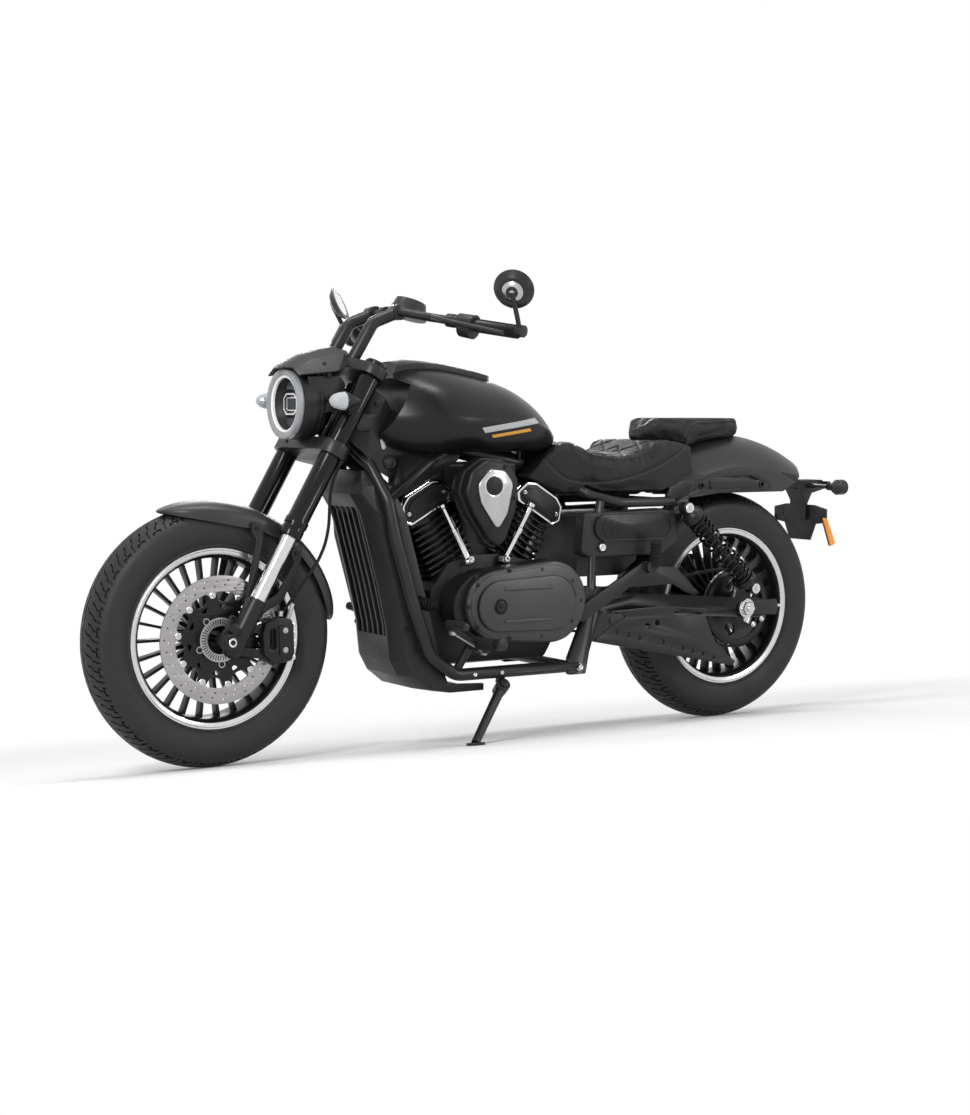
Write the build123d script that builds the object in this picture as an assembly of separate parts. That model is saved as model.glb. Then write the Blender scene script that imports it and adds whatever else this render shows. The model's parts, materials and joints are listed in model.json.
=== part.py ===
from build123d import *
from math import cos, radians, sin, sqrt, tan
import json
import os

# Cruiser motorcycle, in millimetres.
# It is modelled upright: X runs forward from the rear axle, Y to the rider's left, Z up from the floor.
# At the end the whole motorcycle is leant onto its side stand and moved so that the origin is the
# middle of the floor under it.

# ---------------------------------------------------------------- driving dimensions
wheelbase = 1575
usual_wheelbase = 1575      # the outlines of the front end are drawn for this one
lean = 8                    # degrees, to the left, onto the side stand

front_radius = 320          # tyre, to the tread
front_half_width = 66
rear_radius = 323
rear_half_width = 76
crown_radius = 90           # of both tyres, across the tread
tyre_wall = 10
rim_seat = 203              # 16 inch bead seat
rim_lip = 221
lip_thickness = 6
front_rim_half = 50         # to the outside of the lip
rear_rim_half = 64
rim_wall = 7
spoke_count = 26
spoke_depth = 34
spoke_root = 13
spoke_tip = 9
hub_radius = 44
axle_radius = 10
axle_shoulder = 5           # sleeves and heads stand out from the axle by this
bearing_fit = 0.3           # radial gap at a shaft

rake = 30                   # degrees from the vertical
steering_trail = 108.5      # the steering axis meets the floor this far ahead of the axle
fork_offset = 45            # fork legs ahead of the steering axis
fork_half = 115             # fork legs from the centre plane
stanchion_radius = 20
outer_tube_radius = 27
foot_radius = 25
fork_foot_top = 455         # heights measured along the steering axis
outer_tube_foot = 630
lower_yoke_foot = 852
lower_yoke_height = 34
upper_yoke_foot = 1076
upper_yoke_height = 27
upper_yoke_wall = 9
lower_yoke_wall = 10
stem_radius = 13.7
head_tube_radius = 33
head_tube_gap = 8           # from each yoke
steering_lock = 32          # degrees each way

bar_radius = 11
bar_half = 425              # half the width over the bar ends
bar_height = 1118           # at the risers
bar_drop = 54               # from there to the ends
bar_back = 607.5            # risers behind the foot of the steering axis
bar_sweep = 133             # ends behind the risers
riser_half = 62
riser_radius = 16
grip_length = 115
grip_radius = 17
mirror_radius = 50

lamp_back_from_foot = 313.5
lamp_z = 887
lamp_radius = 88
lamp_depth = 96
lens_depth = 20

crank = (835, 328)          # X and Z of the crankshaft
cylinder_leans = {"front": 28.5, "rear": -31.5}
barrel_radius = 62
fin_size = 150
fin_thickness = 5
fin_pitch = 13
fin_count = 9
barrel_foot = 158           # along the cylinder from the crankshaft
head_top = 338
rocker_top = 370
pushrod_radius = 10
crankcase_left = 88
crankcase_right = 112
primary_face = 184
primary_depth = 66

backbone_radius = 26
cradle_radius = 16
rail_radius = 13
cradle_half = 150
lower_rail_z = 200
seat_rail_z = 628

tank_floor = 766
console_thickness = 14

fender_gap = 14             # tyre to front fender
fender_skin = 3
front_fender_half = 80
rear_fender_radius = 484
rear_fender_half = 130
rear_fender_skin = 4
strut_thickness = 10

shroud_half = 126
shroud_face_half = 78
shroud_chamfer = 24
shroud_wall = 8

arm_inner = 122
arm_outer = 149
pivot = (535, 352)          # swingarm pivot, X and Z
pivot_bolt_radius = 12
pulley_radius = 108
front_pulley = (612, 338)
front_pulley_radius = 40
belt_inner = 92
belt_width = 20
belt_thickness = 6

disc_face = 70              # inner face of the front disc
disc_thickness = 5
front_disc_radius = 156
front_hub_left = 66
front_hub_right = 58
rear_hub_half = 78
rear_disc_face = -88
rear_disc_radius = 130
rear_carrier_radius = 80

strut_holes = (155, -60)    # carrier bolts in the fender struts
strut_hole_z = 669
strut_hole_radius = 5
plate_holes = (-70, 70)     # number plate bolts, from the centre plane
plate_hole_z = 570
plate_hole_radius = 3.5
plate_face = -335

shock_top = (241, 611)
shock_bottom = (4, 382)
shock_half = 184
spring_radius = 27

stand_drop = 24             # pivot under the lower rail
stand_pivot = (815, cradle_half + 2, lower_rail_z - cradle_radius - stand_drop)
stand_reach = (138, 92)     # of the foot from the pivot, forward and outward
stand_radius = 11
stand_bolt_radius = 6
stand_pad_radius = 24
stand_pad_thickness = 7

clearance = 6               # round what moves
seam = 0.3                  # between soft or curved pieces and their neighbours

# ---------------------------------------------------------------- helpers
centre_down = (Align.CENTER, Align.CENTER, Align.MIN)
front_down = (Align.MIN, Align.CENTER, Align.MIN)
parts = {}


def fore(points):
    """Points of the front end, moved along with the wheelbase."""
    return [(p[0] + wheelbase - usual_wheelbase, *p[1:]) for p in points]


def both_sides(shape):
    return [shape, shape.mirror(Plane.XZ)]


def joined(shapes):
    return Part() + shapes


def largest(shape):
    return shape.solids().sort_by(SortBy.VOLUME)[-1]


def rod(start, end, radius, end_radius=None):
    start, end = Vector(*start), Vector(*end)
    length = (end - start).length
    if end_radius is None:
        shape = Cylinder(radius, length, align=centre_down)
    else:
        shape = Cone(radius, end_radius, length, align=centre_down)
    return Plane(origin=start, z_dir=end - start) * shape


def cross_rod(x, z, y_from, y_to, radius):
    return rod((x, y_from, z), (x, y_to, z), radius)


def ring(x, z, y_from, y_to, inner, outer):
    return cross_rod(x, z, y_from, y_to, outer) - cross_rod(x, z, y_from - 1, y_to + 1, inner)


def pipe(points, radius, bend):
    bends = bend if isinstance(bend, list) else [bend] * (len(points) - 2)
    path = FilletPolyline(*points, radius=bends)
    return sweep(Plane(origin=path @ 0, z_dir=path % 0) * Circle(radius), path=path)


def outline_face(outline, corner=0):
    face = make_face(Polyline(*outline, close=True))
    return fillet(face.vertices(), corner) if corner else face


def slab(outline, y_from, y_to, corner=0):
    """A plate drawn in side view, (x, z)."""
    return extrude(Plane.XZ.offset(-y_to) * outline_face(outline, corner), amount=y_to - y_from)


def plan(outline, z_from, z_to, corner=0):
    """A block drawn from above, (x, y)."""
    return extrude(Plane.XY.offset(z_from) * outline_face(outline, corner), amount=z_to - z_from)


def lobes(circles, y_from, y_to):
    """Circles (x, z, radius) in side view and the belt round them."""
    face = make_hull(Sketch([Pos(x, z) * Circle(r) for x, z, r in circles]).edges())
    return extrude(Plane.XZ.offset(-y_to) * face, amount=y_to - y_from)


def spun(profile, x, z, angle=360, start=0):
    """Turn a profile of (y, radius) about a wheel's axle, from straight up towards the rear."""
    solid = revolve(Plane.YZ * make_face(profile), Axis((0, 0, 0), (0, -1, 0)), angle)
    return Pos(x, 0, z) * Rot(0, -start, 0) * solid


def around(x, z, radius, count):
    """Points on a circle in side view."""
    angles = [radians(360 / count * i) for i in range(count)]
    return [(x + radius * cos(a), z + radius * sin(a)) for a in angles]


# ---------------------------------------------------------------- wheels
steering_foot = wheelbase + steering_trail
fork_frame = Plane(
    origin=(steering_foot, 0, 0),
    x_dir=(cos(radians(rake)), 0, sin(radians(rake))),
    z_dir=(-sin(radians(rake)), 0, cos(radians(rake))),
)
front_axle = (wheelbase, front_radius)
rear_axle = (0, rear_radius)


def on_fork(ahead, y, along):
    point = fork_frame.from_local_coords(Vector(ahead, y, along))
    return (point.X, point.Y, point.Z)


def tyre_profile(radius, half, bead, inset=0):
    crown_half = 0.79 * half
    shoulder = radius - crown_radius + sqrt(crown_radius ** 2 - crown_half ** 2)
    beads = [(bead - inset, rim_seat), (bead - inset, rim_lip + 0.5)]
    side = (half - inset, 262)
    crown = (crown_half - inset, shoulder - inset / 2)

    def flip(p):
        return (-p[0], p[1])

    return [
        Line(flip(beads[0]), beads[0]),
        Line(beads[0], beads[1]),
        ThreePointArc(beads[1], side, crown),
        ThreePointArc(crown, (0, radius - inset), flip(crown)),
        ThreePointArc(flip(crown), flip(side), flip(beads[1])),
        Line(flip(beads[1]), flip(beads[0])),
    ]


def tyre(x, radius, half, rim_half):
    bead = rim_half - lip_thickness
    outside = spun(tyre_profile(radius, half, bead), x, radius)
    return outside - spun(tyre_profile(radius, half, bead, inset=tyre_wall), x, radius)


def rim(x, z, rim_half, hub_left, hub_right):
    bead = rim_half - lip_thickness
    inside = rim_seat - rim_wall
    section = Polyline(
        (-rim_half, inside), (rim_half, inside), (rim_half, rim_lip), (bead, rim_lip), (bead, rim_seat),
        (-bead, rim_seat), (-bead, rim_lip), (-rim_half, rim_lip), close=True)
    root, tip = hub_radius - 6, inside + 2
    spoke = slab([(root, -spoke_root / 2), (tip, -spoke_tip / 2), (tip, spoke_tip / 2),
                  (root, spoke_root / 2)], -spoke_depth / 2, spoke_depth / 2)
    spokes = [Rot(0, 360 / spoke_count * i, 0) * spoke for i in range(spoke_count)]
    hub = cross_rod(0, 0, -hub_right, hub_left, hub_radius)
    bore = cross_rod(0, 0, -hub_right - 1, hub_left + 1, axle_radius + bearing_fit)
    return Pos(x, 0, z) * (joined([spun(section, 0, 0), hub] + spokes) - bore)


parts["front_tyre"] = tyre(wheelbase, front_radius, front_half_width, front_rim_half)
parts["front_rim"] = rim(*front_axle, front_rim_half, front_hub_left, front_hub_right)
carrier_radius = front_disc_radius - 52
carrier_holes = [cross_rod(x, z, front_hub_left - 1, disc_face + 4, 13)
                 for x, z in around(*front_axle, 76, 10)]
carrier = ring(*front_axle, front_hub_left, disc_face + 3, hub_radius - 12, carrier_radius)
carrier -= joined(carrier_holes)
rotor = ring(*front_axle, disc_face, disc_face + disc_thickness, carrier_radius - 6, front_disc_radius)
parts["front_disc"] = joined([carrier, rotor])

parts["rear_tyre"] = tyre(0, rear_radius, rear_half_width, rear_rim_half)
parts["rear_rim"] = rim(*rear_axle, rear_rim_half, rear_hub_half, rear_hub_half)
belt_outer = belt_inner + belt_width
pulley_teeth = ring(*rear_axle, belt_inner - 1, belt_outer + 1, pulley_radius - 14, pulley_radius)
pulley_web = ring(*rear_axle, belt_inner + 4, belt_inner + 14, axle_radius + 12, pulley_radius - 12)
pulley_hub = ring(*rear_axle, rear_hub_half, belt_outer + 1, axle_radius + bearing_fit, 34)
pulley_holes = [cross_rod(x, z, rear_hub_half, belt_outer + 10, 19) for x, z in around(*rear_axle, 65, 5)]
parts["rear_pulley"] = joined([pulley_teeth, pulley_web, pulley_hub]) - joined(pulley_holes)
rear_disc_back = rear_disc_face - disc_thickness
rear_rotor = ring(*rear_axle, rear_disc_back, rear_disc_face, rear_carrier_radius - 10, rear_disc_radius)
rear_carrier = ring(*rear_axle, rear_disc_face, -rear_hub_half, axle_radius + bearing_fit,
                    rear_carrier_radius)
parts["rear_disc"] = joined([rear_rotor, rear_carrier])


# ---------------------------------------------------------------- fork
def fork_tube(ahead, y, foot, top, radius):
    return rod(on_fork(ahead, y, foot), on_fork(ahead, y, top), radius)


upper_yoke_top = upper_yoke_foot + upper_yoke_height
lower_yoke_top = lower_yoke_foot + lower_yoke_height
fork_top = upper_yoke_top + 6
outer_tubes = both_sides(fork_tube(fork_offset, fork_half, outer_tube_foot, fork_top, outer_tube_radius))
parts["fork_outer_tubes"] = Compound(outer_tubes)

axle_along = fork_frame.to_local_coords(Vector(wheelbase, 0, front_radius)).Z
lug_inner = fork_half - foot_radius - 2
lug_outer = fork_half + foot_radius + 2
stanchion = fork_tube(fork_offset, fork_half, fork_foot_top - 25, outer_tube_foot, stanchion_radius)
foot = fork_tube(fork_offset, fork_half, axle_along - 8, fork_foot_top, foot_radius)
lug = cross_rod(*front_axle, lug_inner, lug_outer, foot_radius + 3)
fork_lower = joined([stanchion, foot, lug]) - cross_rod(*front_axle, 0, 2 * fork_half, axle_radius)
fork_lowers = both_sides(fork_lower)
parts["fork_lowers"] = Compound(fork_lowers)

shoulder_radius = axle_radius + axle_shoulder
axle_shaft = cross_rod(*front_axle, -lug_outer - 4, lug_outer + 4, axle_radius)
axle_sleeves = [
    cross_rod(*front_axle, front_hub_left + 1, lug_inner, shoulder_radius),
    cross_rod(*front_axle, -lug_inner, -front_hub_right - 1, shoulder_radius),
]
axle_heads = both_sides(cross_rod(*front_axle, lug_outer, lug_outer + 10, shoulder_radius))
parts["front_axle"] = joined([axle_shaft] + axle_sleeves + axle_heads)


def yoke(foot, height, wall, nose=0):
    """A clamp round both legs and the stem, with a rounded nose where the risers stand."""
    clamp = outer_tube_radius + wall
    circles = [(fork_offset, -fork_half, clamp), (fork_offset, fork_half, clamp),
               (0, 0, head_tube_radius - 3)]
    if nose:
        circles.append((nose, 0, 46))
    face = make_hull(Sketch([Pos(x, y) * Circle(r) for x, y, r in circles]).edges())
    bores = [Pos(fork_offset, y) * Cylinder(outer_tube_radius, 3 * height) for y in (-fork_half, fork_half)]
    return fork_frame * Pos(0, 0, foot) * (extrude(face, amount=height) - joined(bores))


stem = fork_tube(0, 0, lower_yoke_foot, upper_yoke_top + 8, stem_radius)
head_tube_foot = lower_yoke_top + head_tube_gap
head_tube_top = upper_yoke_foot - head_tube_gap
bearing_rings = [
    fork_tube(0, 0, lower_yoke_top, head_tube_foot - bearing_fit, head_tube_radius - 7),
    fork_tube(0, 0, head_tube_top + bearing_fit, upper_yoke_foot, head_tube_radius - 7),
]
yokes = [yoke(upper_yoke_foot, upper_yoke_height, upper_yoke_wall, nose=70),
         yoke(lower_yoke_foot, lower_yoke_height, lower_yoke_wall)]
parts["fork_yokes"] = joined(yokes + [stem] + bearing_rings)

# ---------------------------------------------------------------- handlebar and its controls
bar_x = steering_foot - bar_back
bar_end = (bar_x - bar_sweep, bar_half, bar_height - bar_drop)
bar_bend = (bar_x - 34, riser_half + 78, bar_height - 12)
bar_shoulder = (bar_x, riser_half + 18, bar_height)


def mirrored(p):
    return (p[0], -p[1], p[2])


bar = pipe([mirrored(bar_end), mirrored(bar_bend), mirrored(bar_shoulder), bar_shoulder, bar_bend, bar_end],
           bar_radius, 30)
riser_foot = on_fork(84, riser_half, upper_yoke_top)
riser_knee = on_fork(80, riser_half, 1214)
riser = pipe([riser_foot, riser_knee, (bar_x, riser_half, bar_height)], riser_radius, 40)
riser += cross_rod(bar_x, bar_height, riser_half - 17, riser_half + 17, riser_radius + 4)
parts["handlebar"] = joined([bar] + both_sides(riser)) - parts["fork_yokes"]

along_bar = (Vector(*bar_end) - Vector(*bar_bend)).normalized()


def on_bar(in_from_end, ahead=0, up=0):
    """A point beside the straight end of the handlebar, at a distance in from its end."""
    point = Vector(*bar_end) - along_bar * (in_from_end / along_bar.Y)
    return (point.X + ahead, point.Y, point.Z + up)


bar_room = rod(on_bar(240), on_bar(-20), bar_radius)
grip_outer = 10
grip_inner = grip_outer + grip_length
parts["grips"] = Compound(both_sides(rod(on_bar(grip_inner), on_bar(grip_outer), grip_radius) - bar_room))

housing = rod(on_bar(177), on_bar(133), 22) + rod(on_bar(171, up=-12), on_bar(137, up=-14), 24)
perch = rod(on_bar(213), on_bar(193), 17) + rod(on_bar(203), on_bar(203, 42, 4), 9)
lever = pipe([on_bar(220, 40, 6), on_bar(163, 60, 4), on_bar(0, 52, -6)], 6, 40)
bridge = rod(on_bar(197), on_bar(173), 15)
parts["bar_controls"] = Compound(both_sides(joined([housing, perch, lever, bridge]) - bar_room))

mirror_back = Vector(0.66, 0.62, -0.42).normalized()
mirror_centre = Vector(bar_end[0] + 26, bar_half + 7, bar_end[2] + 99)
mirror_plane = Plane(origin=mirror_centre, z_dir=mirror_back)
mirror_disc = mirror_plane * Cone(mirror_radius, mirror_radius * 0.7, 16, align=centre_down)
mirror_hub = mirror_plane * Pos(0, 0, 16) * Cylinder(15, 8, align=centre_down)
arm_foot = on_bar(2, 2)
arm_knee = (arm_foot[0] + 12, arm_foot[1] + 8, arm_foot[2] + 30)
mirror_arm = pipe([arm_foot, arm_knee, tuple(mirror_centre + mirror_back * 22)], 6, 14)
bar_plug = rod(on_bar(grip_outer), on_bar(-8), grip_radius - 2)
mirror = joined([mirror_disc, mirror_hub, mirror_arm, bar_plug]) - bar
parts["mirrors"] = Compound(both_sides(mirror))

# ---------------------------------------------------------------- headlight, cowl, signals and instrument
lamp_x = steering_foot - lamp_back_from_foot
lamp_back = lamp_x - lamp_depth
lamp_waist = lamp_x - lens_depth - 50
lens_foot = (lamp_x - lens_depth, 0, lamp_z)
parts["headlight_lens"] = rod(lens_foot, (lamp_x, 0, lamp_z), lamp_radius - 4, lamp_radius - 16)
shell_body = rod((lamp_waist, 0, lamp_z), lens_foot, lamp_radius)
shell_body += rod((lamp_back, 0, lamp_z), (lamp_waist, 0, lamp_z), lamp_radius - 26, lamp_radius)
ear_outline = [(lamp_x - 75, lamp_z - 20), (lamp_x - 75, lamp_z + 60), (lamp_x - 120, lamp_z + 60),
               (lamp_x - 138, lamp_z + 20), (lamp_x - 122, lamp_z - 15), (lamp_x - 108, lamp_z - 42)]
ears = both_sides(slab(ear_outline, 72, 80))
leg_room = joined(both_sides(fork_tube(fork_offset, fork_half, 800, fork_top, outer_tube_radius)))
lamp_clamps = both_sides(fork_tube(fork_offset, fork_half, 965, 1000, outer_tube_radius + 6))
lamp_links = both_sides(rod(on_fork(fork_offset + 20, 76, 982), on_fork(fork_offset + 10, fork_half, 982), 9))
shell = joined([shell_body] + ears + lamp_clamps + lamp_links)
parts["headlight_shell"] = shell - leg_room - parts["fork_yokes"]

cowl_top = [(lamp_x + 16, lamp_z + 84), (lamp_x - 52, lamp_z + 128), (lamp_x - 136, lamp_z + 142),
            (lamp_x - 190, lamp_z + 130)]
cowl_foot = [(lamp_x - 184, lamp_z + 110), (lamp_x - 130, lamp_z + 78), (lamp_x + 2, lamp_z + 70)]
cowl = slab(cowl_top + cowl_foot, -98, 98)
cowl = chamfer(cowl.edges().filter_by(Axis.Y).sort_by(Axis.Z)[-2:], 8)
cowl_plan = [(lamp_x + 30, -70), (lamp_x - 70, -98), (lamp_x - 200, -52)]
cowl_plan += [mirrored((x, y, 0))[:2] for x, y in reversed(cowl_plan)]
cowl_under = [(x, z - 12) for x, z in cowl_top] + [(lamp_x - 210, lamp_z + 60), (lamp_x + 30, lamp_z + 50)]
cowl = (cowl & plan(cowl_plan, lamp_z, lamp_z + 200)) - slab(cowl_under, -90, 90)
cowl_posts = both_sides(rod((lamp_x - 90, 76, lamp_z + 58), (lamp_x - 90, 76, lamp_z + 124), 5))
lamp_set = joined([shell_body, parts["headlight_lens"], parts["fork_yokes"]] + ears)
parts["headlight_cowl"] = joined([cowl] + cowl_posts) - lamp_set - parts["handlebar"]

signal_y, signal_z = 198, 895
signal_lens = rod((lamp_x - 72, signal_y, signal_z), (lamp_x - 28, signal_y, signal_z), 22, 18)
signal_cone = rod((lamp_x - 114, signal_y, signal_z), (lamp_x - 72, signal_y, signal_z), 6, 22)
signal_stalk = rod((lamp_x - 85, 78, signal_z), (lamp_x - 85, signal_y - 12, signal_z), 8)
signal = joined([signal_lens, signal_cone, signal_stalk]) - parts["headlight_shell"]
parts["front_signals"] = Compound(both_sides(signal))

pod_plane = Plane(origin=(bar_x - 64, 0, bar_height - 6), z_dir=(-0.35, 0, 1))
pod = pod_plane * Cone(52, 40, 40, align=centre_down)
pod += rod((bar_x - 46, 0, bar_height - 2), (bar_x, 0, bar_height), 9)
pod += cross_rod(bar_x, bar_height, -12, 12, bar_radius + 6)
parts["instrument"] = pod - parts["handlebar"]

# ---------------------------------------------------------------- front fender, caliper and hose
def arch(radius, half, skin, shoulder, side_foot):
    """Fender section: a crown arc over straight sides, as (y, radius) lines for spun()."""
    inner = half - skin
    return [
        Line((half, side_foot), (half, shoulder)),
        ThreePointArc((half, shoulder), (0, radius), (-half, shoulder)),
        Line((-half, shoulder), (-half, side_foot)),
        Line((-half, side_foot), (-inner, side_foot)),
        Line((-inner, side_foot), (-inner, shoulder)),
        ThreePointArc((-inner, shoulder), (0, radius - skin), (inner, shoulder)),
        Line((inner, shoulder), (inner, side_foot)),
        Line((inner, side_foot), (half, side_foot)),
    ]


fender_radius = front_radius + fender_gap + fender_skin
front_arch = arch(fender_radius, front_fender_half, fender_skin, fender_radius - 37, fender_radius - 49)
fender = spun(front_arch, *front_axle, angle=107, start=-22)
stay_foot = on_fork(fork_offset - 4, 0, fork_foot_top - 12)
stay_inner, stay_outer = front_fender_half + 2, front_fender_half + 6
stays = [cross_rod(stay_foot[0], stay_foot[2], stay_inner, fork_half - foot_radius + 12, 14)]
for head_x, head_z in fore([(1487, 592), (1378, 528)]):
    reach = Vector(head_x - stay_foot[0], 0, head_z - stay_foot[2])
    side = Vector(reach.Z, 0, -reach.X).normalized() * 9
    corners = [(stay_foot[0] + side.X, stay_foot[2] + side.Z), (head_x + side.X, head_z + side.Z),
               (head_x - side.X, head_z - side.Z), (stay_foot[0] - side.X, stay_foot[2] - side.Z)]
    stays.append(slab(corners, stay_inner, stay_outer))
    stays.append(cross_rod(head_x, head_z, front_fender_half - 2, stay_outer, 13))
parts["front_fender"] = joined([fender] + both_sides(joined(stays))) - joined(fork_lowers)

caliper_x = wheelbase - front_disc_radius + 51
caliper_outline = [(caliper_x, front_radius - 62), (caliper_x - 72, front_radius - 70),
                   (caliper_x - 86, front_radius - 30), (caliper_x - 86, front_radius + 15),
                   (caliper_x - 70, front_radius + 48), (caliper_x, front_radius + 42)]
caliper = slab(caliper_outline, disc_face - 24, disc_face + 34, 10)
disc_slot = cross_rod(*front_axle, front_hub_left - 5, disc_face + disc_thickness + 5,
                      front_disc_radius + clearance)
inside_rim = cross_rod(*front_axle, 0, 2 * fork_half, rim_seat - rim_wall - clearance)
caliper_arms = [rod((caliper_x - 10, 92, front_radius + shift),
                    (caliper_x + reach, fork_half - 6, front_radius + rise), 9)
                for shift, reach, rise in ((25, 62, 52), (-48, 80, -4))]
parts["front_caliper"] = joined([(caliper & inside_rim) - disc_slot] + caliper_arms) - joined(fork_lowers)

hose_radius = 4
hose_top = on_fork(fork_offset - 22, fork_half + 26, lower_yoke_foot)
hose_points = [hose_top] + fore([
    (1292, 132, 715), (1301, 125, 675), (1304, 126, 632), (1307, 128, 590), (1316, 126, 545),
    (1336, 122, 500), (1366, 116, 460), (1394, 108, 418), (1418, 98, 382), (1428, 94, 356)])
hose_corners = [Vector(*p) for p in hose_points]
hose_runs = [b - a for a, b in zip(hose_corners, hose_corners[1:])]
hose_bends = [0.45 * min(a.length, b.length) / tan(radians(a.get_angle(b) / 2))
              for a, b in zip(hose_runs, hose_runs[1:])]
hose = pipe(hose_points, hose_radius, hose_bends)
parts["brake_hose"] = hose - parts["front_caliper"] - parts["fork_yokes"]

# ---------------------------------------------------------------- frame
head_tube = fork_tube(0, 0, head_tube_foot, head_tube_top, head_tube_radius)
head_bore = fork_tube(0, 0, head_tube_foot - 1, head_tube_top + 1, stem_radius + bearing_fit)
backbone_points = [on_fork(-20, 0, 1000), (900, 0, 782), (560, 0, 705)]
backbone = pipe(backbone_points, backbone_radius, 300)
cradle_points = fore([(1196, 18, 790), (1163, 75, 735), (1140, 130, 645), (1127, 146, 551),
                      (1075, cradle_half, 373), (1031, cradle_half, 255), (955, cradle_half, lower_rail_z)])
cradle_points.append((575, cradle_half, lower_rail_z))
cradle_bends = [30, 60, 60, 200, 60, 60]
cradle = pipe(cradle_points, cradle_radius, cradle_bends)
brace = pipe(fore([(1140, 125, 650), (1000, 100, 742)]) + [(905, 22, 782)], rail_radius, 60)
gusset = slab(fore([(1112, 672), (1000, 738), (950, 762), (1085, 762), (1106, 700)]), 99, 103)
plate_outline = [(508, 408), (560, 408), (562, 335), (584, 285), (612, 222), (612, 178), (556, 178),
                 (545, 235), (512, 335)]
pivot_plate = slab(plate_outline, arm_outer + 1, arm_outer + 13, 6)
seat_rail_points = [(575, 26, 706), (520, 120, 650), (440, 150, seat_rail_z), (262, 150, seat_rail_z)]
seat_rail = pipe(seat_rail_points, rail_radius, 40)
post_points = [(535, arm_outer + 7, 400), (530, 148, 500), (500, 146, seat_rail_z + 6)]
plate_post = pipe(post_points, rail_radius - 1, 60)
strut_inner = rear_fender_half + 1
strut_outer = strut_inner + strut_thickness
strut_outline = [(272, 652), (278, 605), (262, 590), (225, 590), (212, 612), (196, 636), (60, 650),
                 (-95, 652), (-95, 676), (60, 690), (180, 700), (250, 690)]
strut_bolts = [cross_rod(x, strut_hole_z, strut_inner - 1, strut_outer + 1, strut_hole_radius)
               for x in strut_holes]
strut = slab(strut_outline, strut_inner, strut_outer, 5) - joined(strut_bolts)
radiator_tube = cross_rod(*fore([(1040, 275)])[0], -cradle_half, cradle_half, cradle_radius - 4)
cross_tubes = [
    radiator_tube,
    cross_rod(600, lower_rail_z, -cradle_half, cradle_half, cradle_radius - 3),
    cross_rod(300, seat_rail_z, -cradle_half, cradle_half, rail_radius - 2),
    cross_rod(975, lower_rail_z + 22, -cradle_half, cradle_half, 10),
]
frame_side = joined([cradle, brace, gusset, pivot_plate, seat_rail, plate_post, strut])
frame_tubes = joined([head_tube, backbone] + both_sides(frame_side) + cross_tubes)
frame = frame_tubes - head_bore - cross_rod(*pivot, -200, 200, pivot_bolt_radius)

# ---------------------------------------------------------------- engine
crank_x, crank_z = crank
case_outline = [(965, 225), (992, 300), (992, 410), (940, 480), (870, 500), (790, 500), (640, 470),
                (598, 420), (598, 290), (640, 222)]
case = slab(case_outline, -crankcase_right, crankcase_left, 14)
primary_foot = primary_face - primary_depth
inner_case = lobes([(700, 378, 92), (850, 376, 88)], crankcase_left, primary_foot)
clutch_cover = lobes([(690, 370, 96), (860, 360, 90)], -crankcase_right - 52, -crankcase_right)
well_start = belt_inner - 4
pulley_well = cross_rod(*front_pulley, well_start, 400, front_pulley_radius + belt_thickness + clearance)
belt_well = slab([(500, 250), (676, 270), (676, 420), (500, 440)], well_start, primary_foot)
case_block = joined([case, inner_case, clutch_cover]) - belt_well


def cylinder_frame(name):
    angle = radians(cylinder_leans[name])
    return Plane(origin=(crank_x, 0, crank_z), x_dir=(cos(angle), 0, -sin(angle)),
                 z_dir=(sin(angle), 0, cos(angle)))


def barrel(name):
    def block(foot, long, wide, height):
        return Pos(0, 0, foot) * Box(long, wide, height, align=centre_down)

    core = Pos(0, 0, barrel_foot) * Cylinder(barrel_radius, head_top - barrel_foot - 20, align=centre_down)
    first_fin = barrel_foot + 8
    fins = [block(first_fin + i * fin_pitch, fin_size - 4, fin_size, fin_thickness) for i in range(fin_count)]
    head_foot = first_fin - 2 + fin_count * fin_pitch
    head = block(head_foot, fin_size, fin_size, head_top - head_foot)
    rocker = block(head_top, fin_size + 6, fin_size + 16, rocker_top - head_top)
    rocker = fillet(rocker.edges().group_by(Axis.Z)[-1], 12)
    return cylinder_frame(name) * joined([core, head, rocker] + fins)


barrels = [largest(barrel(name) - case_block) for name in cylinder_leans]
parts["cylinders"] = Compound(barrels)
cylinder_set = joined(barrels)

pushrod_y = 98
pushrods = []
for name, side in (("front", -1), ("rear", 1)):
    place = cylinder_frame(name)
    low = place.from_local_coords(Vector(side * 32, pushrod_y, 150))
    high = place.from_local_coords(Vector(side * 32, pushrod_y, head_top))
    pushrods.append(largest(rod(tuple(low), tuple(high), pushrod_radius) - case_block - cylinder_set))
parts["pushrod_tubes"] = Compound(pushrods)

cover_rim = lobes([(676, 378, 108), (850, 376, 92)], primary_foot, primary_face)
cover_rim = fillet(cover_rim.faces().sort_by(Axis.Y)[-1].edges(), 14)
cover_plate = lobes([(680, 376, 71), (848, 373, 65)], primary_face, primary_face + 11)
cover_dome = cross_rod(884, 372, crankcase_left, primary_face - 24, 82)
primary = largest(joined([cover_rim, cover_plate, cover_dome]) - case_block - pulley_well)

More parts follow.
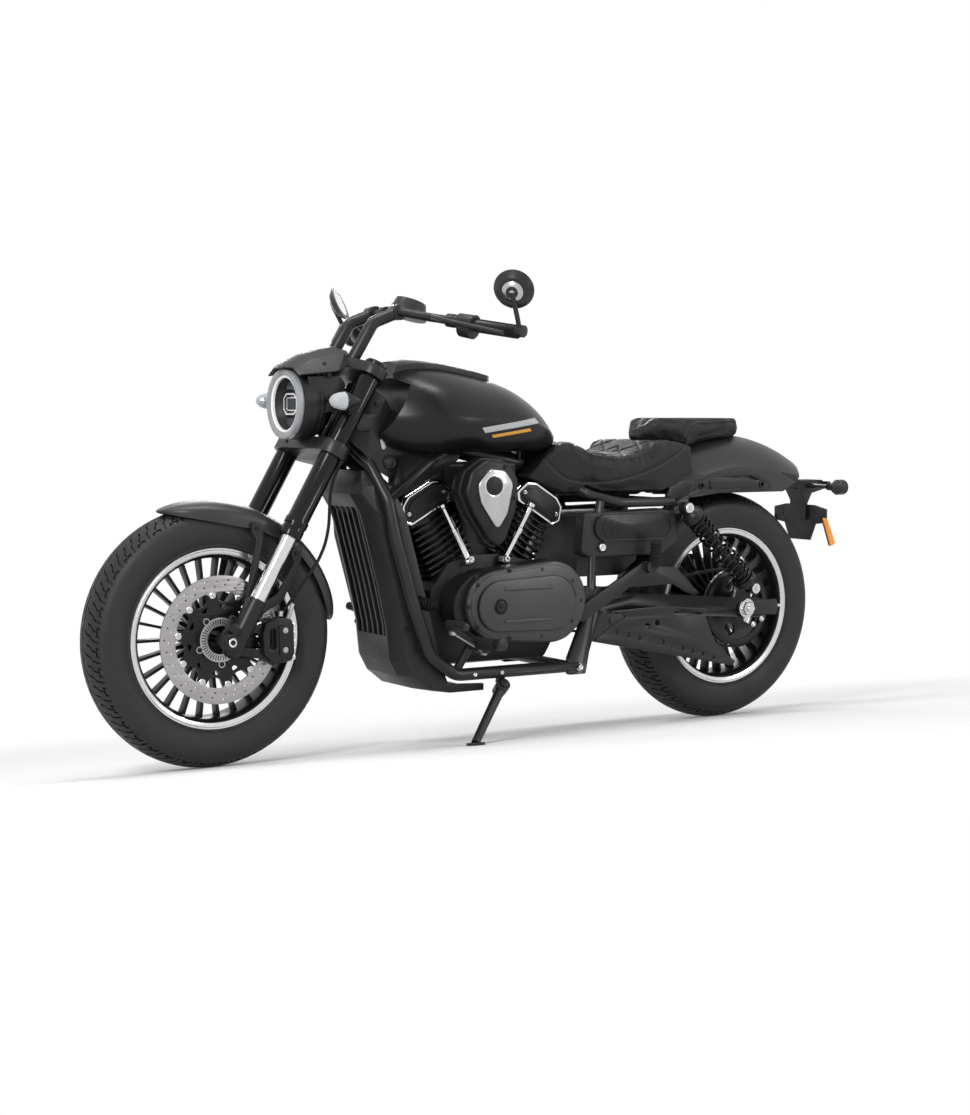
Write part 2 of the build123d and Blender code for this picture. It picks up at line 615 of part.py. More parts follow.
cleaner_inner, cleaner_outer = 138, 214
cleaner_outline = [(800, 700), (835, 748), (900, 754), (950, 722), (968, 668), (940, 610), (890, 540),
                   (862, 522), (838, 545), (806, 620)]
cleaner = slab(cleaner_outline, cleaner_inner, cleaner_outer, 24)
cleaner = fillet(cleaner.faces().sort_by(Axis.Y)[-1].edges(), 10)
badge_outline = [(822, 690), (850, 726), (896, 730), (936, 690), (926, 640), (872, 566), (840, 610)]
badge = slab(badge_outline, cleaner_outer, cleaner_outer + 8, 14)
duct_x, duct_z = 836, 600
ducts = [cross_rod(duct_x, duct_z, -50, cleaner_inner + 2, 30), rod((700, 0, duct_z), (930, 0, duct_z), 22)]
parts["air_cleaner"] = largest(joined([cleaner, badge] + ducts) - cylinder_set - joined(pushrods))

pipe_radius = 20
muffler_radius = 50
muffler_y, muffler_z = -225, 300
header_front = pipe([(985, -70, 590), (1000, -190, 560), (988, -208, 430), (930, -208, 350),
                     (740, -212, muffler_z), (500, muffler_y, muffler_z)], pipe_radius, [50, 60, 60, 90])
header_rear = pipe([(668, -70, 590), (640, -190, 560), (600, -222, 470), (560, -226, 360),
                    (500, -226, muffler_z + 12)], pipe_radius, [50, 60, 60])
muffler = rod((520, muffler_y, muffler_z), (480, muffler_y, muffler_z), 30, muffler_radius)
muffler += rod((480, muffler_y, muffler_z), (-50, muffler_y, muffler_z), muffler_radius)
muffler -= Pos(-60, muffler_y, muffler_z - 50) * Rot(0, 30, 0) * Box(60, 140, 300)
hanger = slab([(500, 330), (560, 345), (560, 365), (500, 365)], -182, -162)

# ---------------------------------------------------------------- radiator and its shroud
shroud_top = 722
shroud_front = fore([(1190, shroud_top), (1214, 690), (1222, 664), (1193, 619), (1176, 565), (1141, 434),
                     (1117, 329), (1107, 240), (1085, 200), (1040, 164), (980, 152), (878, 152)])
shroud_back = fore([(878, 170), (985, 175), (1012, 240), (1045, 373), (1095, 551), (1120, 640), (1140, 700),
                    (1150, shroud_top)])
hollow_front = fore([(1178, shroud_top - shroud_wall), (1204, 686), (1212, 664), (1184, 621), (1167, 567),
                     (1132, 436), (1108, 330), (1099, 242), (1079, 206), (1037, 172), (980, 160), (868, 160)])
hollow_back = fore([(868, 190), (960, 195), (990, 245), (1020, 373), (1070, 551), (1095, 640), (1110, 690),
                    (1120, shroud_top - shroud_wall)])


def side_face(outline, y):
    return make_face(Polyline(*[(x, y, z) for x, z in outline], close=True))


def shroud_block(outline, face_half, half, top):
    """Flat in front, with chamfers that run back to the sides, under an arched top."""
    swept_back = [(x - shroud_chamfer, z) for x, z in outline]
    cheek = loft([side_face(outline, face_half), side_face(swept_back, half)], ruled=True)
    right = [(half, 100), (half, top - 110), (half - 18, top - 38), (half - 48, top)]
    left = [(-y, z) for y, z in reversed(right)]
    arched = Pos(wheelbase / 2, 0, 0) * extrude(Plane.YZ * outline_face(right + left), amount=wheelbase / 2)
    return joined([slab(outline, -face_half, face_half)] + both_sides(cheek)) & arched


hollow = shroud_block(hollow_front + hollow_back, shroud_face_half - 4, shroud_half - shroud_wall,
                      shroud_top - shroud_wall)
window_half = shroud_face_half - 6
window = slab(fore([(1280, 630), (1150, 630), (1060, 302), (1280, 302)]), -window_half, window_half)
slat_outline = fore([(1208, 650), (1188, 621), (1172, 565), (1137, 434), (1113, 329), (1109, 286),
                     (1097, 286), (1101, 329), (1125, 434), (1160, 565), (1176, 621), (1196, 650)])
slats = [slab(slat_outline, y - 4, y + 4) for y in (-54, -27, 0, 27, 54)]
shroud_skin = shroud_block(shroud_front + shroud_back, shroud_face_half, shroud_half, shroud_top)
shroud_skin -= joined([hollow, window])
cradle_room = both_sides(pipe(cradle_points, cradle_radius + 1, cradle_bends)) + [radiator_tube]
shroud_lugs = both_sides(rod(*fore([(1110, 120, 600), (1128, 140, 600)]), 7))
shroud = joined([shroud_skin] + slats) - joined(cradle_room)
parts["radiator_shroud"] = largest(joined([shroud] + shroud_lugs) - frame)
core = slab(fore([(1164, 620), (1084, 312), (1048, 312), (1126, 620)]), -98, 98)
core_pins = both_sides(rod(*fore([(1120, 90, 500), (1108, 134, 500)]), 6))
parts["radiator"] = largest(joined([core] + core_pins) - parts["radiator_shroud"] - frame)

# ---------------------------------------------------------------- tank, console, neck covers
# x, floor, top, half width, height of the widest line
tank_sections = fore([
    (1140, tank_floor + 34, 958, 104, 862),
    (1085, tank_floor + 8, 978, 150, 860),
    (1000, tank_floor, 990, 187, 858),
]) + [
    (880, tank_floor, 974, 184, 852),
    (760, tank_floor, 944, 163, 846),
    (660, tank_floor, 892, 124, 826),
    (602, tank_floor + 6, 836, 72, 804),
]


def tank_section(x, floor, top, half, widest, grow=0):
    top, half = top + grow, half + grow
    low = (0.62 * half, floor)
    waist = (0.91 * half, floor + 0.34 * (widest - floor))
    edges = [
        Line((-low[0], low[1]), low),
        ThreePointArc(low, waist, (half, widest)),
        ThreePointArc((half, widest), (0, top), (-half, widest)),
        ThreePointArc((-half, widest), (-waist[0], waist[1]), (-low[0], low[1])),
    ]
    return Plane(origin=(x, 0, 0), x_dir=(0, 1, 0), z_dir=(1, 0, 0)) * make_face(edges)


def tank_loft(grow):
    return loft([tank_section(*row, grow=grow) for row in tank_sections])


# the legs and the upper yoke come back this far behind the steering axis at full lock
lock_angle = radians(steering_lock)
lock_reach = fork_half * sin(lock_angle) - fork_offset * cos(lock_angle) + outer_tube_radius + upper_yoke_wall
above_yoke = fork_top + 10
lock_room = fork_frame * Pos(-lock_reach - clearance, 0, 0) * Box(400, 600, above_yoke, align=front_down)
riser_room = fork_frame * Pos(-head_tube_radius, 0, above_yoke - 20) * Box(400, 600, 400, align=front_down)
front_room = lock_room + riser_room
backbone_room = pipe(backbone_points, backbone_radius + 4, 300)
tank_shell = largest(tank_loft(0) - front_room - backbone_room)
tank_mounts = both_sides(rod((980, 24, tank_floor + 4), (980, 24, tank_floor + 36), 7))
tank_mounts += both_sides(rod((680, 24, tank_floor - 24), (680, 24, tank_floor + 2), 7))
tank = joined([tank_shell] + tank_mounts) - frame
console_half = fore([(1100, 62), (1000, 72)]) + [(900, 66), (800, 52), (780, 30)]
console_plan = console_half + [(x, -y) for x, y in reversed(console_half)]
console_shape = tank_loft(console_thickness) - front_room
parts["tank_console"] = (console_shape & plan(console_plan, 900, 1100, 8)) - tank_shell

neck_outline = fore([(1047, 745), (1047, 733), (1106, 703), (1131, 717), (1232, 812), (1163, 930),
                     (1121, 905), (1090, 850)])
neck_half = 80
neck_panel = slab(neck_outline, neck_half - 10, neck_half)
neck_lug = rod(*fore([(1180, 20, 850), (1178, 74, 846)]), 6)
neck_cover = largest(joined([neck_panel, neck_lug]) - frame - tank)

# ---------------------------------------------------------------- seats, side covers, rear fender
fender_section = arch(rear_fender_radius, rear_fender_half, rear_fender_skin, rear_fender_radius - 89, 300)
fender_trim = slab([(-320, 560), (-320, 700), (-262, 700), (-205, 676), (-150, 646), (300, 646), (360, 560)],
                   -200, 200)
rear_fender = largest(spun(fender_section, *rear_axle, angle=74, start=-42) - fender_trim)
fender_core = cross_rod(*rear_axle, rear_fender_skin - rear_fender_half, rear_fender_half - rear_fender_skin,
                        rear_fender_radius - rear_fender_skin)
seat_outline = [(690, 700), (655, 748), (612, 790), (567, 790), (500, 764), (420, 748), (360, 758),
                (313, 789), (250, 791), (176, 778), (176, 700), (240, 664), (296, 650), (590, 651)]
seat_half = [(700, 60), (660, 92), (560, 112), (430, 142), (290, 150), (170, 140)]
seat_plan = plan(seat_half + [(x, -y) for x, y in reversed(seat_half)], 600, 900, 20)
seat_block = slab(seat_outline, -160, 160) & seat_plan
seat_room = joined([tank_loft(seam * 2), frame, fender_core, rear_fender])
parts["rider_seat"] = largest(seat_block - seat_room)
pillion_top = 849
pillion_outline = [(296, 792), (276, pillion_top - 10), (262, pillion_top), (-62, pillion_top),
                   (-80, pillion_top - 15), (-80, 790), (240, 770)]
pillion_half = [(292, 26), (252, 66), (172, 102), (24, 102), (-34, 74), (-72, 24)]
pillion_plan = plan(pillion_half + [(x, -y) for x, y in reversed(pillion_half)], 700, 900, 14)
pillion = slab(pillion_outline, -120, 120) & pillion_plan
parts["pillion_seat"] = largest(pillion - seat_room - seat_block)
parts["rear_fender"] = rear_fender - frame

cover_inner, cover_outer = 120, 160
cover_outline = [(570, 498), (560, 604), (300, 610), (256, 600), (243, 520), (300, 486), (540, 484)]
side_plate = slab(cover_outline, cover_inner, cover_outer, 12)
side_plate = fillet(side_plate.faces().sort_by(Axis.Y)[-1].edges(), 8)
side_badge = lobes([(316, 563, 36), (494, 563, 36)], cover_outer, cover_outer + 6)
side_lug = cross_rod(420, 600, 130, 142, 9) + rod((420, 140, 600), (420, 150, seat_rail_z - 8), 8)
side_cover = largest(joined([side_plate, side_badge, side_lug]) - frame - rear_fender)
cover_set = both_sides(neck_cover) + both_sides(side_cover)
parts["side_covers"] = Compound(cover_set)
battery_box = slab([(545, 430), (545, 600), (345, 600), (345, 470), (400, 430)], -100, 100, 12)
battery_pins = both_sides(cross_rod(450, 560, 90, cover_inner, 12))
parts["battery_box"] = joined([battery_box] + battery_pins) - joined(cover_set) - case_block - rear_fender

# ---------------------------------------------------------------- swingarm, belt, shocks
rear_z = rear_radius
arm_outline = [(550, 384), (369, 381), (-76, rear_z + 22), (-76, rear_z - 30), (436, 328), (550, 330)]
arm = slab(arm_outline, arm_inner, arm_outer, 5)
cross_member = cross_rod(448, 352, -arm_inner - 2, arm_inner + 2, 24)
pivot_tube = cross_rod(*pivot, -arm_outer, arm_outer, pivot_bolt_radius + 8)
shock_horn = slab([(40, rear_z + 19), (30, rear_z + 61), (4, rear_z + 77), (-16, rear_z + 61),
                   (-22, rear_z + 19)], arm_outer - 14, arm_outer)
swingarm = joined(both_sides(arm) + [cross_member, pivot_tube] + both_sides(shock_horn))
arm_bores = joined([cross_rod(*rear_axle, -300, 300, axle_radius),
                    cross_rod(*pivot, -300, 300, pivot_bolt_radius)])
parts["swingarm"] = swingarm - arm_bores
nut_radius = 2 * axle_radius
parts["rear_axle"] = joined([
    cross_rod(*rear_axle, -arm_outer - 14, arm_outer + 18, axle_radius),
    cross_rod(*rear_axle, arm_outer, arm_outer + 14, nut_radius),
    cross_rod(*rear_axle, -arm_outer - 12, -arm_outer, nut_radius),
    cross_rod(*rear_axle, belt_outer + 2, arm_inner, axle_radius + clearance),
    cross_rod(*rear_axle, -arm_inner, rear_disc_back - 1, axle_radius + clearance),
])
frame_with_pivot = joined([frame, cross_rod(*pivot, -arm_outer - 20, arm_outer + 20, pivot_bolt_radius)])

rear_loop = (*rear_axle, pulley_radius + 1)
front_loop = (*front_pulley, front_pulley_radius + 1)
belt_round = [(x, z, r + belt_thickness) for x, z, r in (rear_loop, front_loop)]
belt_room = lobes([rear_loop, front_loop], belt_inner - 1, belt_outer + 1)
belt = lobes(belt_round, belt_inner, belt_outer) - belt_room
output_pulley = cross_rod(*front_pulley, belt_inner, belt_outer, front_pulley_radius + 1)
output_pulley += cross_rod(*front_pulley, crankcase_left, belt_inner, 22)
parts["drive_belt"] = joined([belt, output_pulley]) - case_block - primary

guard_thickness = 4
lower_outline = [(520, 336), (421, 330), (400, 300), (265, 284), (251, 316), (146, 308), (117, 242),
                 (60, 190), (52, 166), (180, 190), (536, 262)]
guard_face = arm_outer + guard_thickness
lower_guard = [slab(lower_outline, guard_face, guard_face + guard_thickness, 3)]
lower_guard += [cross_rod(x, z, arm_outer, guard_face + 1, 8) for x, z in ((490, 330), (200, 306))]
upper_outline = [(420, 396), (400, 440), (330, 452), (230, 446), (150, 372), (170, 362), (240, 400),
                 (330, 398)]
upper_guard = [slab(upper_outline, arm_inner + 2, arm_inner + 6, 3)]
upper_guard += [cross_rod(165, 372, arm_inner + 2, arm_inner + 6, 12),
                rod((160, arm_inner + 4, 366), (168, arm_inner + 4, 352), 2)]
belt_guards = [largest(joined(g) - parts["swingarm"] - frame_with_pivot) for g in (lower_guard, upper_guard)]
parts["belt_guards"] = Compound(belt_guards)


def shock():
    top = Vector(shock_top[0], shock_half, shock_top[1])
    bottom = Vector(shock_bottom[0], shock_half, shock_bottom[1])
    length = (top - bottom).length

    def collar(foot, radius, height):
        place = Plane(origin=bottom, z_dir=top - bottom)
        return place * Pos(0, 0, foot) * Cylinder(radius, height, align=centre_down)

    body = [collar(10, spring_radius / 2, length - 20), collar(24, spring_radius, 6),
            collar(length - 66, spring_radius - 3, 46)]
    body += [collar(36 + i * 18, spring_radius, 9) for i in range(13)]
    eyes = [cross_rod(*eye, shock_half - 14, shock_half + 14, 17) for eye in (shock_top, shock_bottom)]
    bolts = [cross_rod(*shock_top, strut_outer, shock_half + 20, 9),
             cross_rod(*shock_bottom, arm_outer, shock_half + 20, 9)]
    return joined(body + eyes + bolts) - frame - swingarm


parts["shock_absorbers"] = Compound(both_sides(shock()))

rear_caliper = slab([(10, rear_z + 72), (70, rear_z + 72), (105, rear_z + 117), (60, rear_z + 139),
                     (10, rear_z + 139)], rear_disc_back - 19, rear_disc_face + 18, 6)
rear_caliper -= cross_rod(*rear_axle, rear_disc_back - 5, rear_disc_face + 5, rear_disc_radius + clearance)
rear_caliper -= cross_rod(*rear_axle, -arm_outer, 0, rear_carrier_radius + clearance)
caliper_back = slab([(20, rear_z + 57), (90, rear_z + 57), (90, rear_z + 117), (50, rear_z + 129),
                     (20, rear_z + 107)], rear_disc_back - 25, rear_disc_back - 15)
caliper_arm = rod((60, rear_disc_back - 20, rear_z + 69), (60, -arm_inner - 2, rear_z + 27), 7)
parts["rear_caliper"] = largest(joined([rear_caliper, caliper_back, caliper_arm]) - parts["swingarm"])

# ---------------------------------------------------------------- feet and tail
exhaust = joined([header_front, header_rear, muffler, hanger]) - cylinder_set - case_block - frame_with_pivot
parts["exhaust"] = largest(exhaust)
peg_root = (913, cradle_half + 10, 282)
peg_bend = (913, 196, 282)
peg = [rod((948, cradle_half - 4, 214), peg_root, 11), rod(peg_root, peg_bend, 12),
       rod(peg_bend, (908, 300, 290), 15)]
pillion_bracket = slab([(612, 330), (556, 372), (372, 470), (352, 462), (352, 442), (540, 336), (575, 318)],
                       arm_outer + 15, arm_outer + 25, 3)
pillion_peg = [cross_rod(360, 454, arm_outer + 15, arm_outer + 43, 16),
               rod((350, 186, 448), (354, 200, 520), 12)]
foot_room = joined([frame_with_pivot, primary, case_block, parts["exhaust"]] + belt_guards)
rests = both_sides(joined(peg)) + both_sides(joined([pillion_bracket] + pillion_peg))
rests = [largest(rest - foot_room) for rest in rests]
parts["footrests"] = Compound(rests)
shift_lever = joined([rod((905, 216, 268), (1016, 222, 334), 6), rod((1016, 216, 334), (1016, 300, 340), 9),
                      rod((905, 163, 268), (905, 224, 268), 9)])
lever_room = joined([foot_room] + rests)
parts["foot_controls"] = Compound([largest(side - lever_room) for side in both_sides(shift_lever)])

tail_outline = [(-180, 690), (-240, 690), (-300, 672), (-385, 672), (-392, 645), (-345, 634), (-329, 604),
                (-329, 556), (-321, 556), (-321, 612), (-300, 646), (-236, 664), (-180, 668)]
holder_half = [(44, 497), (66, 545), (112, 550), (112, 590), (60, 600)]
holder_outline = holder_half + [(-y, z) for y, z in reversed(holder_half)]
plate_holder = extrude(Plane.YZ * Pos(0, 0, plate_face) * outline_face(holder_outline), amount=6)
plate_holder -= joined([rod((plate_face - 12, y, plate_hole_z), (plate_face + 18, y, plate_hole_z),
                            plate_hole_radius) for y in plate_holes])
reflector_outline = [(-312, 566), (-327, 560), (-358, 492), (-343, 484)]
reflectors = both_sides(slab(reflector_outline, 111, 118))
signal_x, signal_half, rear_signal_z = -333, 168, 656
tail = [
    slab(tail_outline, -34, 34, 2),
    plate_holder,
    *reflectors,
    slab([(-392, 668), (-398, 656), (-398, 646), (-384, 646), (-384, 668)], -60, 60),
    slab([(-150, 700), (-205, 690), (-205, 672), (-150, 672)], -128, 128),
    rod((signal_x, -signal_half + 18, rear_signal_z), (signal_x, signal_half - 18, rear_signal_z), 7),
]
for y in (signal_half, -signal_half):
    tail.append(rod((signal_x - 12, y, rear_signal_z), (signal_x + 15, y, rear_signal_z), 20, 22))
    tail.append(rod((signal_x + 15, y, rear_signal_z), (signal_x + 37, y, rear_signal_z), 22, 8))
parts["tail_bracket"] = joined(tail) - rear_fender - frame

# ---------------------------------------------------------------- side stand
floor_angle = radians(lean)
lift = crown_radius * (1 - cos(floor_angle))      # the tyres roll onto their shoulders
foot_x = stand_pivot[0] + stand_reach[0]
foot_y = stand_pivot[1] + stand_reach[1]
foot_z = foot_y * tan(floor_angle) + (stand_pad_thickness - lift) / cos(floor_angle)
stand_foot = Vector(foot_x, foot_y, foot_z)
stand_top = Vector(*stand_pivot)
floor_up = (0, -sin(floor_angle), cos(floor_angle))
pad_plane = Plane(origin=stand_foot, z_dir=floor_up) * Pos(0, 0, -stand_pad_thickness)
pad = pad_plane * Cylinder(stand_pad_radius, stand_pad_thickness, align=centre_down)
above_floor = pad_plane * Box(800, 800, 800, align=centre_down)
leg_direction = (stand_foot - stand_top).normalized()
folded_direction = Vector(-0.985, 0.12, -0.06).normalized()
stand_axis = leg_direction.cross(folded_direction).normalized()
leg = rod(stand_pivot, tuple(stand_foot + leg_direction * 2), stand_radius + 2, stand_radius) & above_floor
stand_plane = Plane(origin=stand_top, z_dir=stand_axis)
knuckle_half = stand_radius + 4
cheek_outer = knuckle_half + 10


def on_stand_bolt(z_from, z_to, radius):
    return stand_plane * Pos(0, 0, z_from) * Cylinder(radius, z_to - z_from, align=centre_down)


knuckle = on_stand_bolt(-knuckle_half, knuckle_half, stand_radius + 7)
bolt_bore = on_stand_bolt(-2 * cheek_outer, 2 * cheek_outer, stand_bolt_radius + bearing_fit)
parts["side_stand"] = joined([leg, knuckle, pad]) - bolt_bore
cheek = on_stand_bolt(-cheek_outer, -knuckle_half - bearing_fit, stand_radius + 6)
bolt_head = on_stand_bolt(knuckle_half + bearing_fit, knuckle_half + 7, stand_bolt_radius + 5)
stand_bolt = on_stand_bolt(-cheek_outer, knuckle_half + 7, stand_bolt_radius)
bracket_end = tuple(stand_top - stand_axis * (cheek_outer - 2))
bracket = rod((stand_pivot[0], cradle_half, lower_rail_z), bracket_end, 12)
bracket -= on_stand_bolt(-knuckle_half - bearing_fit, 80, stand_radius + 11)

# ---------------------------------------------------------------- placing and export
whole_frame = joined([frame_with_pivot, cheek, bolt_head, stand_bolt, bracket])
parts["frame"] = whole_frame
parts["crankcase"] = largest(case_block - whole_frame - primary)
parts["primary_cover"] = primary - whole_frame
parts["fuel_tank"] = tank

lean_place = Rot(-lean, 0, 0)
leant = {name: lean_place * shape for name, shape in parts.items()}
box = Compound([s for shape in leant.values() for s in shape.solids()]).bounding_box()
middle = Pos(-(box.min.X + box.max.X) / 2, -(box.min.Y + box.max.Y) / 2, -box.min.Z)
os.makedirs("parts", exist_ok=True)
for name, shape in leant.items():
    solids = [middle * s for s in shape.solids()]
    export_step(solids[0] if len(solids) == 1 else Compound(solids), f"parts/{name}.step")


def placed(point):
    spot = (middle * lean_place * Pos(*point)).position
    return [round(v / 1000, 6) for v in (spot.X, spot.Y, spot.Z)]


def turned(direction):
    way = Vector(*direction).rotate(Axis.X, -lean)
    return [round(v, 6) for v in (way.X, way.Y, way.Z)]


strut_middle = sum(strut_holes) / 2
strut_face = rear_fender_half + 6
points = {
    "steering": [placed(on_fork(0, 0, 970)), turned(tuple(fork_frame.z_dir))],
    "front_axle": [placed((wheelbase, 0, front_radius)), turned((0, 1, 0))],
    "rear_axle": [placed((0, 0, rear_radius)), turned((0, 1, 0))],
    "side_stand": [placed(stand_pivot), turned(tuple(stand_axis))],
    "bar_end": [placed(bar_end), turned(tuple(along_bar))],
    "strut_left": [placed((strut_middle, strut_face, strut_hole_z)), turned((0, 1, 0))],
    "strut_right": [placed((strut_middle, -strut_face, strut_hole_z)), turned((0, -1, 0))],
    "plate": [placed((plate_face, 0, plate_hole_z)), turned((-1, 0, 0))],
    "pillion": [placed((90, 0, pillion_top)), turned((0, 0, 1))],
    "box": [[round(v, 3) for v in box.size]],
}
print(json.dumps(points))
print("stand folds through", round(leg_direction.get_angle(folded_direction), 1), "degrees")
print("hose bend radii:", [round(r) for r in hose_bends])
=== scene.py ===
import bpy
import json
import math
from math import cos, pi, radians, sin
from mathutils import Matrix, Vector
from mathutils.kdtree import KDTree


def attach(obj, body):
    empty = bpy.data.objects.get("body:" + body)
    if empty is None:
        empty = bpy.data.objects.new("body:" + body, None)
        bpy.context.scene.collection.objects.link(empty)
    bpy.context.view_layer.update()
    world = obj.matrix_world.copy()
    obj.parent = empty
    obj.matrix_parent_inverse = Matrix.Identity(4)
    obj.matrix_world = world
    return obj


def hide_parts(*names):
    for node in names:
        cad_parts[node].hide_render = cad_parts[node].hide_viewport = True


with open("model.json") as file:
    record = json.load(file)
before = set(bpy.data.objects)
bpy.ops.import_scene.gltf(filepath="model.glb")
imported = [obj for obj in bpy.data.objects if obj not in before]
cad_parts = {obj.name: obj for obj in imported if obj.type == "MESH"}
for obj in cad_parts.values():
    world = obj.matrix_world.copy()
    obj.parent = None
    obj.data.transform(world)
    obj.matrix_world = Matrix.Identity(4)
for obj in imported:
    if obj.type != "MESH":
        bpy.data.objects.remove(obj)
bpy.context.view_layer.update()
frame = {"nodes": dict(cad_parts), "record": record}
nodes = frame["nodes"]
scene = bpy.context.scene

# Pieces are modelled on an upright motorcycle, in millimetres: X forward from the rear axle, Y to the
# rider's left, Z up from the floor. bikePlace is in metres, and leans them onto the side stand.
bikePlace = Matrix.Translation((-0.7485, -0.16415, 0.000876)) @ Matrix.Rotation(radians(-8), 4, "X")
mm = 0.001


# camera, floor and lights

camera = {
    "place": (3628.9, 4447.9, 885.8),
    "looksAlong": (-0.539094, -0.838827, -0.075804),
    "right": (-0.841414, 0.540375, 0.004219),
    "lens": 64.63,
    "sensor": 36,
}


def makeCamera():
    data = bpy.data.cameras.new("camera")
    data.lens = camera["lens"]
    data.sensor_width = camera["sensor"]
    data.clip_start = 0.05
    data.clip_end = 100
    cam = bpy.data.objects.new("camera", data)
    scene.collection.objects.link(cam)
    right = Vector(camera["right"])
    back = -Vector(camera["looksAlong"])
    up = back.cross(right).normalized()
    turn = Matrix((right, up, back)).transposed().to_4x4()
    cam.matrix_world = bikePlace @ Matrix.Translation(Vector(camera["place"]) * mm) @ turn
    scene.camera = cam


studio = {
    "floorSize": 60,
    "floorColour": (0.82, 0.82, 0.83, 1),
    "floorLift": 0.08,              # white added to what the camera sees of the lit floor
    "shadowReach": (1.5, 3.2),      # metres from the middle over which the floor turns plain white
    "worldColour": (1, 1, 1, 1),
    "worldLight": 0.42,
    "softboxes": [
        # name, place, aims at, width, height, power
        ("overhead", (0.3, 0.3, 3.4), (0.1, 0, 0.4), 2.6, 0.24, 48),
        ("keySide", (3.2, 2.6, 2.4), (0.3, 0, 0.6), 0.7, 2.0, 105),
        ("fillSide", (-2.6, 3.6, 1.6), (-0.2, 0, 0.5), 0.5, 1.8, 42),
        ("rim", (-1.6, -3.4, 2.6), (-0.2, 0, 0.7), 2.0, 0.3, 52),
    ],
}


def wired(tree, node, inputs):
    # each input is linked to a socket or given a plain value
    for key, value in dict(inputs).items():
        if isinstance(value, bpy.types.NodeSocket):
            tree.links.new(value, node.inputs[key])
        else:
            node.inputs[key].default_value = value


def added(tree, kind, inputs=(), **settings):
    node = tree.nodes.new("ShaderNode" + kind)
    for key, value in settings.items():
        setattr(node, key, value)
    wired(tree, node, inputs)
    return node


def maths(tree, kind, *values):
    return added(tree, "Math", enumerate(values), operation=kind).outputs[0]


def whiteForEyes(tree):
    # 1 for what the camera, gloss and glass see, and 0 for what lights the object
    path = added(tree, "LightPath").outputs
    first = maths(tree, "MAXIMUM", path["Is Camera Ray"], path["Is Glossy Ray"])
    return maths(tree, "MAXIMUM", first, path["Is Transmission Ray"])


def makeWorld():
    world = bpy.data.worlds.new("studioWorld")
    scene.world = world
    world.use_nodes = True
    tree = world.node_tree
    level = added(tree, "MapRange", {"Value": whiteForEyes(tree), "To Min": studio["worldLight"],
                                     "To Max": 1})
    wired(tree, tree.nodes["Background"], {"Color": studio["worldColour"],
                                           "Strength": level.outputs["Result"]})


def makeFloor():
    bpy.ops.object.select_all(action="DESELECT")
    bpy.ops.mesh.primitive_plane_add(size=studio["floorSize"], location=(0, 0, 0))
    floor = bpy.context.object
    floor.name = "studioFloor"
    material = bpy.data.materials.new("floorPaper")
    material.use_nodes = True
    tree = material.node_tree
    tree.nodes.remove(tree.nodes["Principled BSDF"])
    matt = added(tree, "BsdfDiffuse", {"Color": studio["floorColour"]})
    lift = maths(tree, "MULTIPLY", whiteForEyes(tree), studio["floorLift"])
    glow = added(tree, "Emission", {"Strength": lift})
    lit = added(tree, "AddShader", {0: matt.outputs[0], 1: glow.outputs[0]})
    white = added(tree, "Emission")
    where = added(tree, "TexCoord")
    length = added(tree, "VectorMath", {0: where.outputs["Object"]}, operation="LENGTH")
    near, far = studio["shadowReach"]
    fade = added(tree, "MapRange", {"Value": length.outputs["Value"], "From Min": near, "From Max": far},
                 interpolation_type="SMOOTHSTEP")
    mix = added(tree, "MixShader", {0: fade.outputs["Result"], 1: lit.outputs[0], 2: white.outputs[0]})
    wired(tree, tree.nodes["Material Output"], {"Surface": mix.outputs[0]})
    floor.data.materials.append(material)


def makeSoftbox(name, place, aim, width, height, power):
    data = bpy.data.lights.new(name, "AREA")
    data.shape = "RECTANGLE"
    data.size = width
    data.size_y = height
    data.energy = power
    lamp = bpy.data.objects.new(name, data)
    scene.collection.objects.link(lamp)
    lamp.location = place
    lamp.rotation_euler = (Vector(aim) - Vector(place)).to_track_quat("-Z", "Y").to_euler()


scene.view_settings.view_transform = "Standard"
makeCamera()
makeWorld()
makeFloor()
for box in studio["softboxes"]:
    makeSoftbox(*box)
print("studio ready")


# materials

